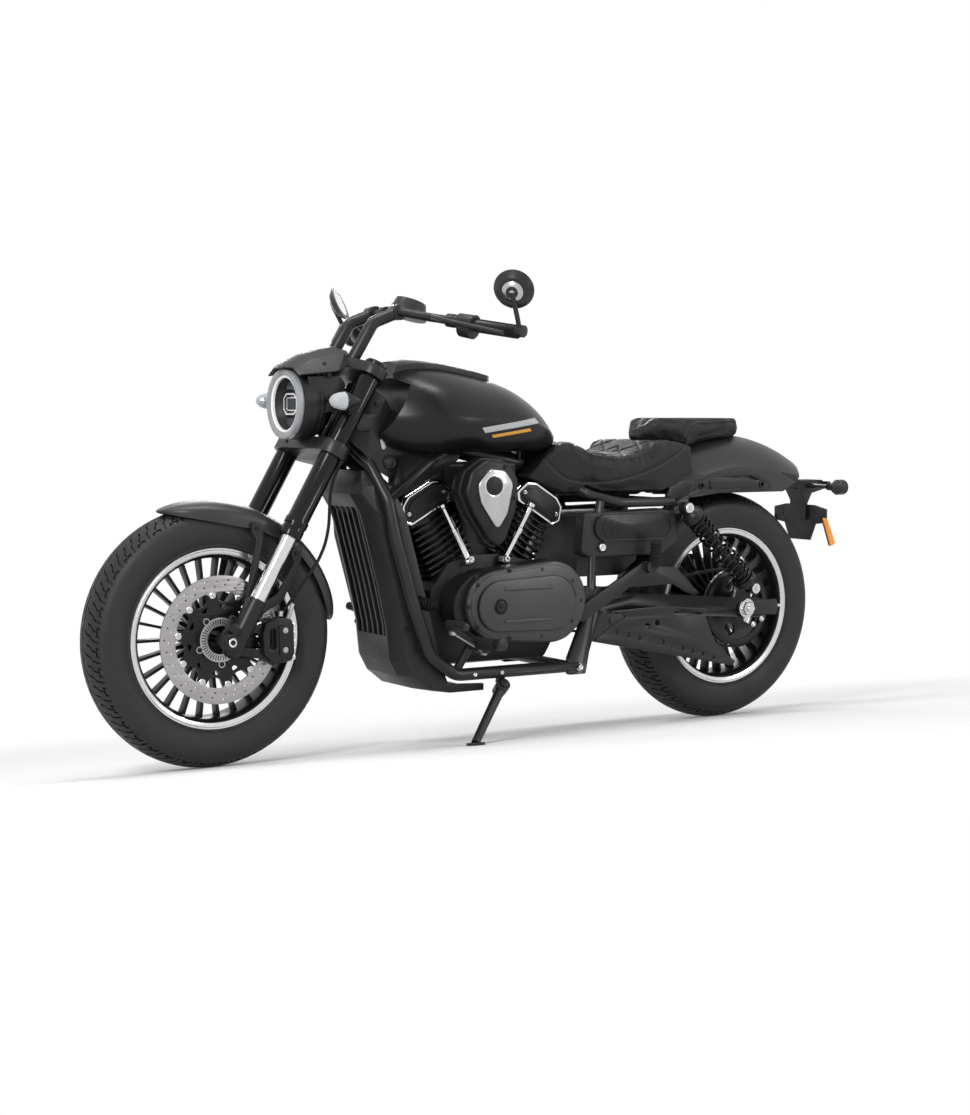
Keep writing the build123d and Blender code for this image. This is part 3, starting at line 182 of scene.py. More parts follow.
finishes = {
    # colour, roughness low and high, metallic, specular, coat, grain size in m, grain depth
    "frameBlack": ((0.012, 0.012, 0.0125), (0.30, 0.40), 0, 0.34, 0, 0.0009, 0.06),
    "tankBlack": ((0.006, 0.006, 0.0065), (0.27, 0.34), 0, 0.26, 0, 0.0006, 0.03),
    "fenderBlack": ((0.020, 0.020, 0.021), (0.36, 0.44), 0, 0.4, 0, 0.0006, 0.03),
    "panelBlack": ((0.014, 0.014, 0.0145), (0.36, 0.48), 0, 0.3, 0, 0.0007, 0.12),
    "engineBlack": ((0.009, 0.009, 0.0095), (0.34, 0.46), 0, 0.26, 0, 0.0010, 0.10),
    "coverGraphite": ((0.050, 0.050, 0.052), (0.34, 0.44), 0.35, 0.4, 0, 0.0010, 0.08),
    "chrome": ((0.68, 0.68, 0.69), (0.04, 0.10), 1, 0.5, 0, 0.004, 0.01),
    "forkBlack": ((0.004, 0.004, 0.0045), (0.13, 0.19), 0, 0.26, 0, 0.004, 0.01),
    "bareSteel": ((0.46, 0.46, 0.47), (0.24, 0.38), 1, 0.5, 0, 0.0012, 0.06),
    "wheelBlack": ((0.007, 0.007, 0.0075), (0.28, 0.38), 0, 0.26, 0, 0.0008, 0.05),
    "tyreRubber": ((0.017, 0.017, 0.017), (0.46, 0.60), 0, 0.3, 0, 0.0012, 0.2),
    "softRubber": ((0.010, 0.010, 0.010), (0.55, 0.7), 0, 0.15, 0, 0.0008, 0.18),
    "seatLeather": ((0.011, 0.011, 0.0115), (0.50, 0.62), 0, 0.26, 0, 0.0014, 0.35),
    "exhaustBlack": ((0.010, 0.010, 0.010), (0.46, 0.58), 0, 0.2, 0, 0.0010, 0.12),
    "boltBlack": ((0.012, 0.012, 0.013), (0.26, 0.38), 0.2, 0.3, 0, 0.0010, 0.04),
    "machined": ((0.60, 0.60, 0.61), (0.16, 0.28), 1, 0.5, 0, 0.0010, 0.04),
    "discSteel": ((0.36, 0.35, 0.345), (0.30, 0.42), 1, 0.5, 0, 0.0010, 0.05),
    "signalLens": ((0.38, 0.40, 0.42), (0.08, 0.16), 0, 0.5, 0.5, 0.004, 0.02),
    "lampDark": ((0.05, 0.05, 0.055), (0.10, 0.18), 0.6, 0.5, 0, 0.004, 0.02),
    "fluteGrey": ((0.09, 0.09, 0.10), (0.24, 0.34), 0.5, 0.5, 0, 0.001, 0.04),
    "lampWhite": ((0.86, 0.87, 0.88), (0.14, 0.2), 0, 0.5, 0.5, 0.004, 0.01),
    "frostedRing": ((0.27, 0.28, 0.29), (0.18, 0.3), 0, 0.5, 0.4, 0.002, 0.03),
    "amber": ((0.86, 0.30, 0.015), (0.15, 0.25), 0, 0.5, 0.5, 0.003, 0.05),
    "thread": ((0.10, 0.10, 0.105), (0.5, 0.6), 0, 0.3, 0, 0.0005, 0.2),
    "tailRed": ((0.35, 0.012, 0.010), (0.12, 0.2), 0, 0.5, 0.5, 0.003, 0.04),
    "finBlack": ((0.013, 0.013, 0.014), (0.20, 0.32), 0.2, 0.36, 0, 0.0009, 0.05),
    "badgeAlloy": ((0.46, 0.46, 0.47), (0.20, 0.30), 1, 0.5, 0, 0.0008, 0.03),
    "mirrorGlass": ((0.86, 0.87, 0.88), (0.01, 0.03), 1, 0.5, 0, 0.004, 0.0),
    "castAlloy": ((0.42, 0.42, 0.43), (0.36, 0.48), 0.9, 0.5, 0, 0.0010, 0.06),
}


surface = {
    "patchScale": 14,           # soft patches of tone and smear
    "patchSpan": (0.3, 0.7),
    "toneSpan": (0.85, 1.15),
    "coatRoughness": 0.06,
    "glassIor": 1.49,
    "hazeScale": 60,
}


def plainFinish(name, colour, rough, metallic, specular, coat, grain, depth):
    material = bpy.data.materials.new(name)
    material.use_nodes = True
    tree = material.node_tree
    where = added(tree, "TexCoord").outputs["Object"]
    patches = added(tree, "TexNoise", {"Scale": surface["patchScale"], "Detail": 4, "Vector": where})
    dark, light = ([min(c * k, 1) for c in colour] for k in surface["toneSpan"])
    tone = added(tree, "Mix", {"Factor": patches.outputs["Fac"], "A": (*dark, 1), "B": (*light, 1)},
                 data_type="RGBA")
    low, high = surface["patchSpan"]
    smear = added(tree, "MapRange", {"Value": patches.outputs["Fac"], "From Min": low, "From Max": high,
                                     "To Min": rough[0], "To Max": rough[1]})
    fine = added(tree, "TexNoise", {"Scale": 1 / grain, "Detail": 2, "Vector": where})
    bump = added(tree, "Bump", {"Strength": depth, "Distance": grain, "Height": fine.outputs["Fac"]})
    wired(tree, tree.nodes["Principled BSDF"], {
        "Base Color": tone.outputs["Result"],
        "Roughness": smear.outputs["Result"],
        "Normal": bump.outputs["Normal"],
        "Metallic": metallic,
        "Specular IOR Level": specular,
        "Coat Weight": coat,
        "Coat Roughness": surface["coatRoughness"],
    })
    return material


def makeGlass(name, colour, rough):
    material = bpy.data.materials.new(name)
    material.use_nodes = True
    tree = material.node_tree
    where = added(tree, "TexCoord")
    haze = added(tree, "TexNoise", {"Scale": surface["hazeScale"], "Vector": where.outputs["Object"]})
    spread = added(tree, "MapRange", {"Value": haze.outputs["Fac"], "To Min": rough[0], "To Max": rough[1]})
    wired(tree, tree.nodes["Principled BSDF"], {
        "Base Color": (*colour, 1),
        "Roughness": spread.outputs["Result"],
        "Transmission Weight": 1,
        "IOR": surface["glassIor"],
    })
    return material


materials = {name: plainFinish(name, *values) for name, values in finishes.items()}
materials["lampGlass"] = makeGlass("lampGlass", (0.97, 0.98, 1), (0.0, 0.04))

slotMaterials = {
    "frame_black": "frameBlack", "tank_black": "tankBlack", "panel_black": "panelBlack",
    "engine_black": "engineBlack", "cover_graphite": "coverGraphite", "chrome": "chrome",
    "fork_black": "forkBlack", "bare_steel": "bareSteel", "wheel_black": "wheelBlack",
    "tyre_rubber": "tyreRubber", "soft_rubber": "softRubber", "seat_leather": "seatLeather",
    "lamp_glass": "lampGlass", "exhaust_black": "exhaustBlack",
}
moreFinishes = {
    # the record's slot, and the other finishes that belong to it
    "frame_black": ["boltBlack"],
    "tank_black": ["tankPaint", "fenderBlack"],
    "engine_black": ["finBlack"],
    "seat_leather": ["thread"],
    "chrome": ["mirrorGlass"],
    "bare_steel": ["machined", "discSteel", "castAlloy", "badgeAlloy"],
    "lamp_glass": ["tailRed", "lampDark", "fluteGrey", "lampWhite", "frostedRing", "signalLens", "amber"],
}
finishSlots = {finish: slot for slot, finish in slotMaterials.items()}
finishSlots.update({finish: slot for slot, group in moreFinishes.items() for finish in group})
slotOf = {part["node"]: part["material_slot"] for part in frame["record"]["subparts"]}
for name, node in nodes.items():
    node.data.materials.clear()
    node.data.materials.append(materials[slotMaterials[slotOf[name]]])
nodes["rear_fender"].data.materials[0] = materials["fenderBlack"]
print("materials ready")


# modelling helpers: pieces are drawn in millimetres on the upright motorcycle

def pick(piece):
    bpy.ops.object.select_all(action="DESELECT")
    piece.select_set(True)
    bpy.context.view_layer.objects.active = piece
    return piece


def shaped(piece, kind, **settings):
    modifier = piece.modifiers.new(kind.lower(), kind)
    for key, value in settings.items():
        setattr(modifier, key, value)
    pick(piece)
    bpy.ops.object.modifier_apply(modifier=modifier.name)
    return piece


def softened(piece, width, steps=2, angle=35):
    return shaped(piece, "BEVEL", width=width, segments=steps, limit_method="ANGLE",
                  angle_limit=radians(angle))


def tidied(piece, threshold=0.01):
    pick(piece)
    bpy.ops.object.mode_set(mode="EDIT")
    bpy.ops.mesh.select_all(action="SELECT")
    bpy.ops.mesh.remove_doubles(threshold=threshold)
    bpy.ops.mesh.normals_make_consistent(inside=False)
    bpy.ops.object.mode_set(mode="OBJECT")
    return piece


def joined(pieces):
    bpy.ops.object.select_all(action="DESELECT")
    for piece in pieces:
        piece.select_set(True)
    bpy.context.view_layer.objects.active = pieces[0]
    bpy.ops.object.join()
    return bpy.context.object


def copied(piece, place):
    twin = piece.copy()
    twin.data = piece.data.copy()
    scene.collection.objects.link(twin)
    twin.data.transform(place)
    return twin


def copiedRound(piece, count, place=Matrix()):
    # the piece and its copies, spread evenly round place's Z axis
    back = place.inverted()
    twins = [copied(piece, place @ Matrix.Rotation(2 * pi * k / count, 4, "Z") @ back)
             for k in range(1, count)]
    return joined([piece, *twins])


def bothSides(piece):
    # the piece and its mirror image across the motorcycle's middle plane
    twin = copied(piece, Matrix.Diagonal((1, -1, 1, 1)))
    twin.data.flip_normals()
    return joined([piece, twin])


def facing(x, y, z, towards):
    # a place whose Z axis points towards the given direction
    return Matrix.Translation((x, y, z)) @ Vector(towards).to_track_quat("Z", "Y").to_matrix().to_4x4()


def acrossBike(x, y, z):
    # Z points to the rider's left, for parts turned about an axle
    return Matrix.Translation((x, y, z)) @ Matrix.Rotation(radians(-90), 4, "X")


def outwards(x, y, z, side):
    # Z points away from the motorcycle's middle on either side
    return acrossBike(x, y, z) @ (Matrix() if side > 0 else Matrix.Rotation(pi, 4, "X"))


def onSide(x, y, z):
    # outlines drawn as (forward, up) stand in the motorcycle's side plane
    return Matrix.Translation((x, y, z)) @ Matrix.Rotation(radians(90), 4, "X")


def onFront(x, y, z):
    # outlines drawn as (left, up) stand across the motorcycle
    return Matrix.Translation((x, y, z)) @ Matrix(((0, 0, 1, 0), (1, 0, 0, 0), (0, 1, 0, 0), (0, 0, 0, 1)))


def turned(profile, place, steps=48):
    # (radius, height) points spun round place's Z axis
    bpy.ops.object.select_all(action="DESELECT")
    bpy.ops.mesh.primitive_plane_add(size=1)
    piece = bpy.context.object
    bpy.ops.object.mode_set(mode="EDIT")
    bpy.ops.mesh.select_all(action="SELECT")
    bpy.ops.mesh.merge(type="CENTER")
    bpy.ops.transform.translate(value=(profile[0][0], 0, profile[0][1]))
    for (r1, h1), (r2, h2) in zip(profile, profile[1:]):
        bpy.ops.mesh.extrude_vertices_move(TRANSFORM_OT_translate={"value": (r2 - r1, 0, h2 - h1)})
    bpy.ops.mesh.select_all(action="SELECT")
    bpy.ops.mesh.spin(steps=steps, angle=2 * pi, center=(0, 0, 0), axis=(0, 0, 1))
    bpy.ops.object.mode_set(mode="OBJECT")
    tidied(piece)
    piece.data.transform(place)
    return piece


def rounded(corners, radius=0):
    # corners of (x, y) or (x, y, radius), each rounded by an arc
    line = []
    count = len(corners)
    for k, corner in enumerate(corners):
        r = corner[2] if len(corner) > 2 else radius
        here = Vector(corner[:2])
        before = Vector(corners[k - 1][:2]) - here
        after = Vector(corners[(k + 1) % count][:2]) - here
        if r <= 0 or before.length < 1e-6 or after.length < 1e-6:
            line.append(tuple(here))
            continue
        angle = before.angle(after)
        if angle > 3.1:
            line.append(tuple(here))
            continue
        reach = min(r / math.tan(angle / 2), 0.49 * before.length, 0.49 * after.length)
        start = here + before.normalized() * reach
        end = here + after.normalized() * reach
        steps = max(2, round((pi - angle) / 0.25))
        for step in range(steps + 1):
            t = step / steps
            line.append(tuple((1 - t) ** 2 * start + 2 * t * (1 - t) * here + t * t * end))
    return line


def circle(x, y, r, count=20):
    return [(x + r * cos(2 * pi * k / count), y + r * sin(2 * pi * k / count)) for k in range(count)]


def racetrack(x1, y1, x2, y2, r, count=10):
    # a slot or capsule from one end's middle to the other's
    along = math.atan2(y2 - y1, x2 - x1)
    line = []
    for k in range(count + 1):
        a = along + pi / 2 + pi * k / count
        line.append((x1 + r * cos(a), y1 + r * sin(a)))
    for k in range(count + 1):
        a = along - pi / 2 + pi * k / count
        line.append((x2 + r * cos(a), y2 + r * sin(a)))
    return line


def addLine(curve, spots, kind="POLY"):
    spline = curve.splines.new(kind)
    spline.points.add(len(spots) - 1)
    for point, spot in zip(spline.points, spots):
        point.co = (*spot, 1)
    return spline


def tubeCurve(name, radius, sides):
    curve = bpy.data.curves.new(name, "CURVE")
    curve.dimensions = "3D"
    curve.bevel_depth = radius
    curve.bevel_resolution = sides
    curve.use_fill_caps = True
    curve.resolution_u = 10
    return curve


def meshed(curve):
    piece = bpy.data.objects.new(curve.name, curve)
    scene.collection.objects.link(piece)
    pick(piece)
    bpy.ops.object.convert(target="MESH")
    return bpy.context.object


def plate(outline, thick, place, holes=(), edge=0.8):
    # a filled outline with its holes, thickened to both sides of place and bevelled
    curve = bpy.data.curves.new("plate", "CURVE")
    curve.dimensions = "2D"
    curve.fill_mode = "BOTH"
    for loop in [outline, *holes]:
        addLine(curve, [(x, y, 0) for x, y in loop]).use_cyclic_u = True
    curve.extrude = thick / 2 - edge
    curve.bevel_depth = edge
    curve.bevel_resolution = 1
    curve.offset = -edge
    piece = tidied(meshed(curve))
    piece.data.transform(place)
    return piece


def rod(points, radius, smooth=True):
    # a tube along the points, with closed ends
    curve = tubeCurve("rod", radius, 5)
    bent = smooth and len(points) > 2
    spline = addLine(curve, points, "NURBS" if bent else "POLY")
    if bent:
        spline.order_u = 3
        spline.use_endpoint_u = True
    return tidied(meshed(curve))


def block(size, place, edge=2):
    # a bevelled box centred on place
    bpy.ops.object.select_all(action="DESELECT")
    bpy.ops.mesh.primitive_cube_add(size=1)
    piece = bpy.context.object
    piece.data.transform(Matrix.Diagonal((*size, 1)))
    softened(piece, edge)
    piece.data.transform(place)
    return piece


def bolt(place, r, tall=4):
    # a hexagon head with a dished top on a washer
    washer = turned([(0, -0.5), (r * 1.25, -0.5), (r * 1.25, 0.6), (r, 1), (0, 1)], place, 20)
    head = [(0, 1), (r, 1), (r, tall - 0.8), (r * 0.88, tall), (r * 0.5, tall), (r * 0.45, tall - 1.4),
            (0, tall - 1.4)]
    return joined([washer, turned(head, place, 6)])


def carriedOver(name, width=1.2, angle=30, steps=2):
    # a copy of a CAD node's mesh with its edges softened, drawn back in millimetres
    source = nodes[name]
    piece = bpy.data.objects.new(name + "Soft", source.data.copy())
    scene.collection.objects.link(piece)
    piece.data.materials.clear()
    piece.data.transform(Matrix.Scale(1 / mm, 4) @ bikePlace.inverted())
    pick(piece)
    bpy.ops.object.mode_set(mode="EDIT")
    bpy.ops.mesh.select_all(action="SELECT")
    bpy.ops.mesh.remove_doubles(threshold=0.01)
    bpy.ops.mesh.dissolve_limited(angle_limit=radians(1.5))
    bpy.ops.object.mode_set(mode="OBJECT")
    if width:
        softened(piece, width, steps, angle)
    return piece


def settle(piece, name, finish, body, stands=(), smooth=32):
    # metres, the lean, the finish and the body, for one finished piece
    pick(piece)
    bpy.ops.object.transform_apply(location=True, rotation=True, scale=True)
    piece.name = name
    piece.data.name = name
    piece.data.transform(bikePlace @ Matrix.Scale(mm, 4))
    piece.data.materials.clear()
    piece.data.materials.append(materials[finish])
    pick(piece)
    bpy.ops.object.shade_smooth_by_angle(angle=radians(smooth))
    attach(piece, body)
    if stands:
        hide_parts(*stands)
    return piece


# wheels

frontAxle = (1575, 320)      # forward and up
rearAxle = (0, 323)
tyres = {
    # middle, largest radius, half width, crown radius, shoulder half width, rim lip radius, rim half width
    "front": {"middle": frontAxle, "r": 320, "half": 66, "crown": 90, "shoulder": 56, "lip": 221,
              "rim": 50},
    "rear": {"middle": rearAxle, "r": 323, "half": 76, "crown": 100, "shoulder": 64, "lip": 221, "rim": 64},
}
tread = {
    "pitches": 40,
    "columns": 10,
    "rowStep": 4,
    "depth": 5,
    "middle": 1.6,      # half the width of the groove that winds along the middle, and its wave
    "wave": 2.6,
    # how far a groove has run round the tyre, by its place across it
    "path": [(0, 0), (6, 0), (15, 13), (32, 20), (38, 29), (64, 38)],
    "grooves": {1: (8, 90), 6: (18, 52), 4: (48, 90), 8: (48, 90)},
}


def treadRun(across):
    path = tread["path"]
    for (y1, s1), (y2, s2) in zip(path, path[1:]):
        if across <= y2:
            return s1 + (s2 - s1) * (across - y1) / (y2 - y1)
    return path[-1][1]


def makeTyre(name, size, body, node):
    r, half, crown, shoulder, lip, rim = (size[k] for k in ("r", "half", "crown", "shoulder", "lip", "rim"))

    def crownAt(y):
        return r - crown + math.sqrt(crown ** 2 - y ** 2)

    edge = crownAt(shoulder)
    wall = [(lip - 7, rim - 5), (lip + 2, rim + 1), (lip + 5, rim + 4), (lip + 8, rim + 3.4),
            (lip + 16, rim + 8), (lip + (edge - lip) * 0.42, half - 2), (lip + (edge - lip) * 0.62, half),
            (lip + (edge - lip) * 0.8, half - 1.2), (edge - 6, (half + shoulder) / 2 + 0.6)]
    rows = []
    y = shoulder
    while y > tread["middle"] + 0.5:
        rows.append(y)
        y -= tread["rowStep"]
    rows.append(tread["middle"])
    right = [(rr, -yy) for rr, yy in wall] + [(crownAt(yy), -yy) for yy in rows]
    left = [(crownAt(yy), yy) for yy in reversed(rows)] + [(rr, yy) for rr, yy in reversed(wall)]
    inside = [(lip + 20, rim - 4), (edge - 16, half - 14), (r - 14, 20), (r - 14, -20),
              (edge - 16, 14 - half), (lip + 20, 4 - rim)]
    steps = tread["pitches"] * tread["columns"]
    tyre = turned([*right, *left, *inside, right[0]], Matrix(), steps)
    # rows slide round the tyre so that each column of faces follows the grooves' path
    for vertex in tyre.data.vertices:
        x, yy, z = vertex.co
        if math.hypot(x, yy) > edge - 7:
            run = treadRun(abs(z)) / r
            turn = math.copysign(run, z)
            vertex.co = Matrix.Rotation(turn, 3, "Z") @ vertex.co
            if abs(z) < 2:
                vertex.co.z += tread["wave"] * sin(math.atan2(vertex.co.y, vertex.co.x) * tread["pitches"])
    pick(tyre)
    bpy.ops.object.mode_set(mode="EDIT")
    bpy.ops.mesh.select_all(action="DESELECT")
    bpy.ops.object.mode_set(mode="OBJECT")
    for face in tyre.data.polygons:
        x, yy, z = face.center
        reach = math.hypot(x, yy)
        if reach < edge - 1 or reach < crownAt(min(abs(z), shoulder)) - 3:
            face.select = False
            continue
        run = treadRun(abs(z)) / r
        angle = math.atan2(yy, x) - math.copysign(run, z)
        stagger = 0 if z > 0 else tread["columns"] // 2     # the two sides' grooves alternate
        column = (int((angle % (2 * pi)) / (2 * pi) * steps) + stagger) % tread["columns"]
        low, high = tread["grooves"].get(column, (1, 0))
        face.select = low < abs(z) < min(high, shoulder + 4) or abs(z) < 2
    bpy.ops.object.mode_set(mode="EDIT")
    bpy.ops.mesh.select_mode(type="FACE")
    bpy.ops.mesh.extrude_region_shrink_fatten(TRANSFORM_OT_shrink_fatten={"value": -tread["depth"]})
    bpy.ops.mesh.select_mode(type="VERT")
    bpy.ops.object.mode_set(mode="OBJECT")
    x0, z0 = size["middle"]
    tyre.data.transform(acrossBike(x0, 0, z0))
    settle(tyre, name, "tyreRubber", body, [node], 28)


rims = {
    # spokes, hub radius, how deep and how thick a spoke is at its root and tip
    "front": {"spokes": 26, "hub": 44, "deep": (40, 30), "thick": (12, 8)},
    "rear": {"spokes": 26, "hub": 52, "deep": (44, 34), "thick": (12, 8)},
}


def makeRim(name, tyre, size, body, node):
    x0, z0 = tyre["middle"]
    place = acrossBike(x0, 0, z0)
    lip, half = tyre["lip"], tyre["rim"]
    bed = [(lip - 11, half), (lip - 13, half - 2), (lip - 18, half - 5), (lip - 24, half - 14),
           (lip - 26, half - 24), (lip - 26, 24 - half), (lip - 24, 14 - half), (lip - 18, 5 - half),
           (lip - 13, 2 - half), (lip - 11, -half), (lip - 8, -half), (lip - 10, 9 - half),
           (lip - 18, 26 - half), (lip - 18, half - 26), (lip - 10, half - 9), (lip - 8, half),
           (lip - 11, half)]
    barrel = turned(bed, place, 96)
    hub = size["hub"]
    centre = turned([(20, 46), (hub - 12, 46), (hub - 4, 42), (hub, 34), (hub, -34), (hub - 4, -42),
                     (hub - 12, -46), (20, -46), (20, 46)], place, 48)
    flange = turned([(hub - 2, 15), (hub + 12, 13), (hub + 14, 9), (hub + 14, -9), (hub + 12, -13),
                     (hub - 2, -15), (hub - 2, 15)],
                    place, 48)
    reach = lip - 25
    bpy.ops.object.select_all(action="DESELECT")
    bpy.ops.mesh.primitive_cube_add(size=1)
    spoke = bpy.context.object
    for vertex in spoke.data.vertices:
        tip = vertex.co.x > 0
        vertex.co = (reach if tip else hub + 4, vertex.co.y * size["thick"][tip],
                     vertex.co.z * size["deep"][tip])
    pick(spoke)
    bpy.ops.object.mode_set(mode="EDIT")
    bpy.ops.mesh.select_all(action="SELECT")
    bpy.ops.mesh.subdivide(number_cuts=2)
    bpy.ops.object.mode_set(mode="OBJECT")
    for vertex in spoke.data.vertices:      # waisted, and dished a little
        along = (vertex.co.x - hub - 4) / (reach - hub - 4)
        vertex.co.y *= 1 - 0.28 * sin(pi * along)
        vertex.co.z *= 1 - 0.22 * sin(pi * along)
    softened(spoke, 1.6, 2, 40)
    spoke.data.transform(place)
    spokes = copiedRound(spoke, size["spokes"], place)
    settle(joined([barrel, centre, flange, spokes]), name, "wheelBlack", body, [node])
    lips = []
    for side in (1, -1):
        ring = [(lip - 17.5, side * (half - 5)), (lip - 16, side * (half - 1.6)),
                (lip - 12, side * (half + 0.6)), (lip - 6, side * (half + 1.6)),
                (lip - 4.8, side * (half + 0.5)), (lip - 1, side * (half + 1)),
                (lip + 0.4, side * (half - 0.6)), (lip - 1, side * (half - 4)),
                (lip - 10, side * (half - 6)), (lip - 17.5, side * (half - 5))]
        lips.append(turned(ring, place, 144))
    settle(joined(lips), name.replace("rim", "rim_lip"), "machined", body)


brakes = {
    # middle, outer and inner radius, the bobbins, the first one's angle, the hub that the carrier sits on
    "frontDisc": {"middle": (frontAxle[0], 72.5, frontAxle[1]), "r": 156, "inner": 117,
                  "bobbins": 10, "bobbinAt": 110, "first": 79.7, "hub": 58},
    "rearDisc": {"middle": (rearAxle[0], -88, rearAxle[1]), "r": 130, "inner": 96,
                 "bobbins": 6, "bobbinAt": 90, "first": 30, "hub": 50},
    "holePairs": 30,
    "thick": 4.6,
}


def makeDisc(name, size, body, node, side):
    x, y, z = size["middle"]
    inner, hub, count, bobbinAt = (size[key] for key in ("inner", "hub", "bobbins", "bobbinAt"))
    first = radians(size["first"])
    holes = []
    for k in range(brakes["holePairs"]):
        a = 2 * pi * k / brakes["holePairs"]
        base = inner + (12 if k % 2 else 16)
        for step in (0, 12):
            slant = a + step * 0.004
            holes.append(circle((base + step) * cos(slant), (base + step) * sin(slant), 2.5, 8))
    inside = []
    for k in range(120):        # a tab for each bobbin stands in from the inner edge
        a = 2 * pi * k / 120
        near = abs(((math.degrees(a) - size["first"]) * count / 360 + 0.5) % 1 - 0.5) * 2
        r = inner - (7 if near < 0.3 else 0)
        inside.append((r * cos(a), r * sin(a)))
    disc = plate(circle(0, 0, size["r"], 120), brakes["thick"], onSide(x, y, z), [inside, *holes], 0.4)
    settle(disc, name, "discSteel", body, [node])
    # carrier: arms to the bobbins, with a window between each pair
    wide = pi / count
    tip = bobbinAt + 6
    low, high = hub + 14, bobbinAt - 24
    arms, windows, bobbins = [], [], []
    for k in range(count):
        a = first + 2 * pi * k / count
        for r, turn, corner in ((tip - 24, -wide, 6), (tip - 20, -wide * 0.5, 5), (tip, -wide * 0.32, 5),
                                (tip, wide * 0.32, 5), (tip - 20, wide * 0.5, 5)):
            arms.append((r * cos(a + turn), r * sin(a + turn), corner))
        spot = outwards(x + bobbinAt * cos(a), y + side * 2.2, z + bobbinAt * sin(a), side)
        bobbins.append(turned([(0, 3.4), (2.4, 3.4), (2.6, 1.6), (3.6, 1.4), (4, 3), (7.2, 2.6), (8.4, 1.6),
                               (8.4, -6), (0, -6)], spot, 24))
        b = a + wide
        windows.append(rounded([(low * cos(b), low * sin(b)),
                                (high * cos(b + wide * 0.5), high * sin(b + wide * 0.5)),
                                (high * cos(b - wide * 0.5), high * sin(b - wide * 0.5))], 5))
    carrier = plate(rounded(arms), 6, onSide(x, y - side * 1.2, z), [*windows, circle(0, 0, hub - 8, 40)],
                    0.8)
    cone = turned([(hub - 12, -side * 26), (hub - 8, -side * 26), (hub + 4, -side), (hub - 2, side * 0.5),
                   (hub - 12, -side * 26)], acrossBike(x, y, z), 48)
    settle(joined([carrier, cone]), name + "_carrier", "wheelBlack", body)
    settle(joined(bobbins), name + "_bobbins", "machined", body)


toneRing = {"y": 76.5, "r": 54, "hole": 34, "slots": 44, "slotFrom": 39, "slotTo": 50,
            "bolts": 5, "boltAt": 59, "first": 51}


def makeToneRing():
    x, z = frontAxle
    y = toneRing["y"]
    slots = []
    for k in range(toneRing["slots"]):
        a = 2 * pi * k / toneRing["slots"]
        low, high = toneRing["slotFrom"], toneRing["slotTo"]
        slots.append(racetrack(low * cos(a), low * sin(a), high * cos(a), high * sin(a), 1.15, 3))
    hole = circle(0, 0, toneRing["hole"], 60)
    ring = plate(circle(0, 0, toneRing["r"], 72), 2.2, onSide(x, y, z), [hole, *slots], 0.3)
    lobes, bolts = [], []
    for k in range(toneRing["bolts"]):
        a = radians(toneRing["first"] + 360 * k / toneRing["bolts"])
        boltX, boltZ = x + toneRing["boltAt"] * cos(a), z + toneRing["boltAt"] * sin(a)
        lobe = [(4, 1.2), (8.6, 1.2), (8.6, -1.2), (4, -1.2), (4, 1.2)]
        lobes.append(turned(lobe, acrossBike(boltX, y, boltZ), 24))
        bolts.append(bolt(acrossBike(boltX, y + 1, boltZ), 5, 5))
    settle(joined([ring, *lobes]), "tone_ring", "castAlloy", "front_wheel")
    settle(joined(bolts), "tone_ring_bolts", "boltBlack", "front_wheel")


makeTyre("front_tyre_tread", tyres["front"], "front_wheel", "front_tyre")
makeTyre("rear_tyre_tread", tyres["rear"], "rear_wheel", "rear_tyre")
makeRim("front_rim_spoked", tyres["front"], rims["front"], "front_wheel", "front_rim")
makeRim("rear_rim_spoked", tyres["rear"], rims["rear"], "rear_wheel", "rear_rim")
makeDisc("front_disc_drilled", brakes["frontDisc"], "front_wheel", "front_disc", 1)
makeDisc("rear_disc_drilled", brakes["rearDisc"], "rear_wheel", "rear_disc", -1)
makeToneRing()
print("wheels ready")


# fork, lamp, fender and brake

fork = {
    "foot": (1683.5, 0),        # where the steering axis meets the floor
    "lean": 30,
    "offset": 45,
    "half": 115,
    # (radius, height up the leg)
    "outer": [(20.5, 626), (26, 626), (28.6, 629), (28.6, 648), (27.4, 651), (27.4, 656), (29.4, 658),
              (29.4, 672), (27, 676), (27, 868), (27, 1068), (26, 1071), (26, 1102), (28.2, 1102),
              (28.2, 1112), (25, 1116), (11, 1116), (11, 1112), (0, 1112)],
    "inner": [(19, 440), (20, 440), (20, 640), (19, 640), (19, 440)],
    "lug": [(0, 455), (20.4, 455), (24, 452), (25, 447), (25, 330), (24, 318), (20, 307), (12, 300),
            (0, 298)],
    # round the axle: (radius, distance outwards), then outlines in the side view
    "boss": [(0, -22), (20, -22), (21.5, -18), (21.5, 27), (19.5, 30), (10, 30), (10, 27), (0, 27)],
    "web": [(1537, 352), (1560, 366), (1590, 336), (1597, 318), (1582, 300), (1560, 303)],
    "pinch": [(1548, 352), (1573, 366), (1585, 350), (1562, 334)],
    "axle": 9.5,
    # each yoke's clamp bolt: how far up and ahead, and its place across as a part of the half width
    "clampBolts": [(869, 78, 0.62), (1089, 76, 0.70)],
    "clampSeam": [(27, 860), (34.6, 860), (34.6, 862.5), (27, 862.5), (27, 860)],
}


def onFork(y, h, ahead=fork["offset"]):
    # a spot h up along the steering axis from the floor, and ahead of that axis
    a = radians(fork["lean"])
    return fork["foot"][0] - h * sin(a) + ahead * cos(a), y, h * cos(a) + ahead * sin(a)


def forkPlace(y):
    return facing(*onFork(y, 0), (-0.5, 0, 0.8660254))


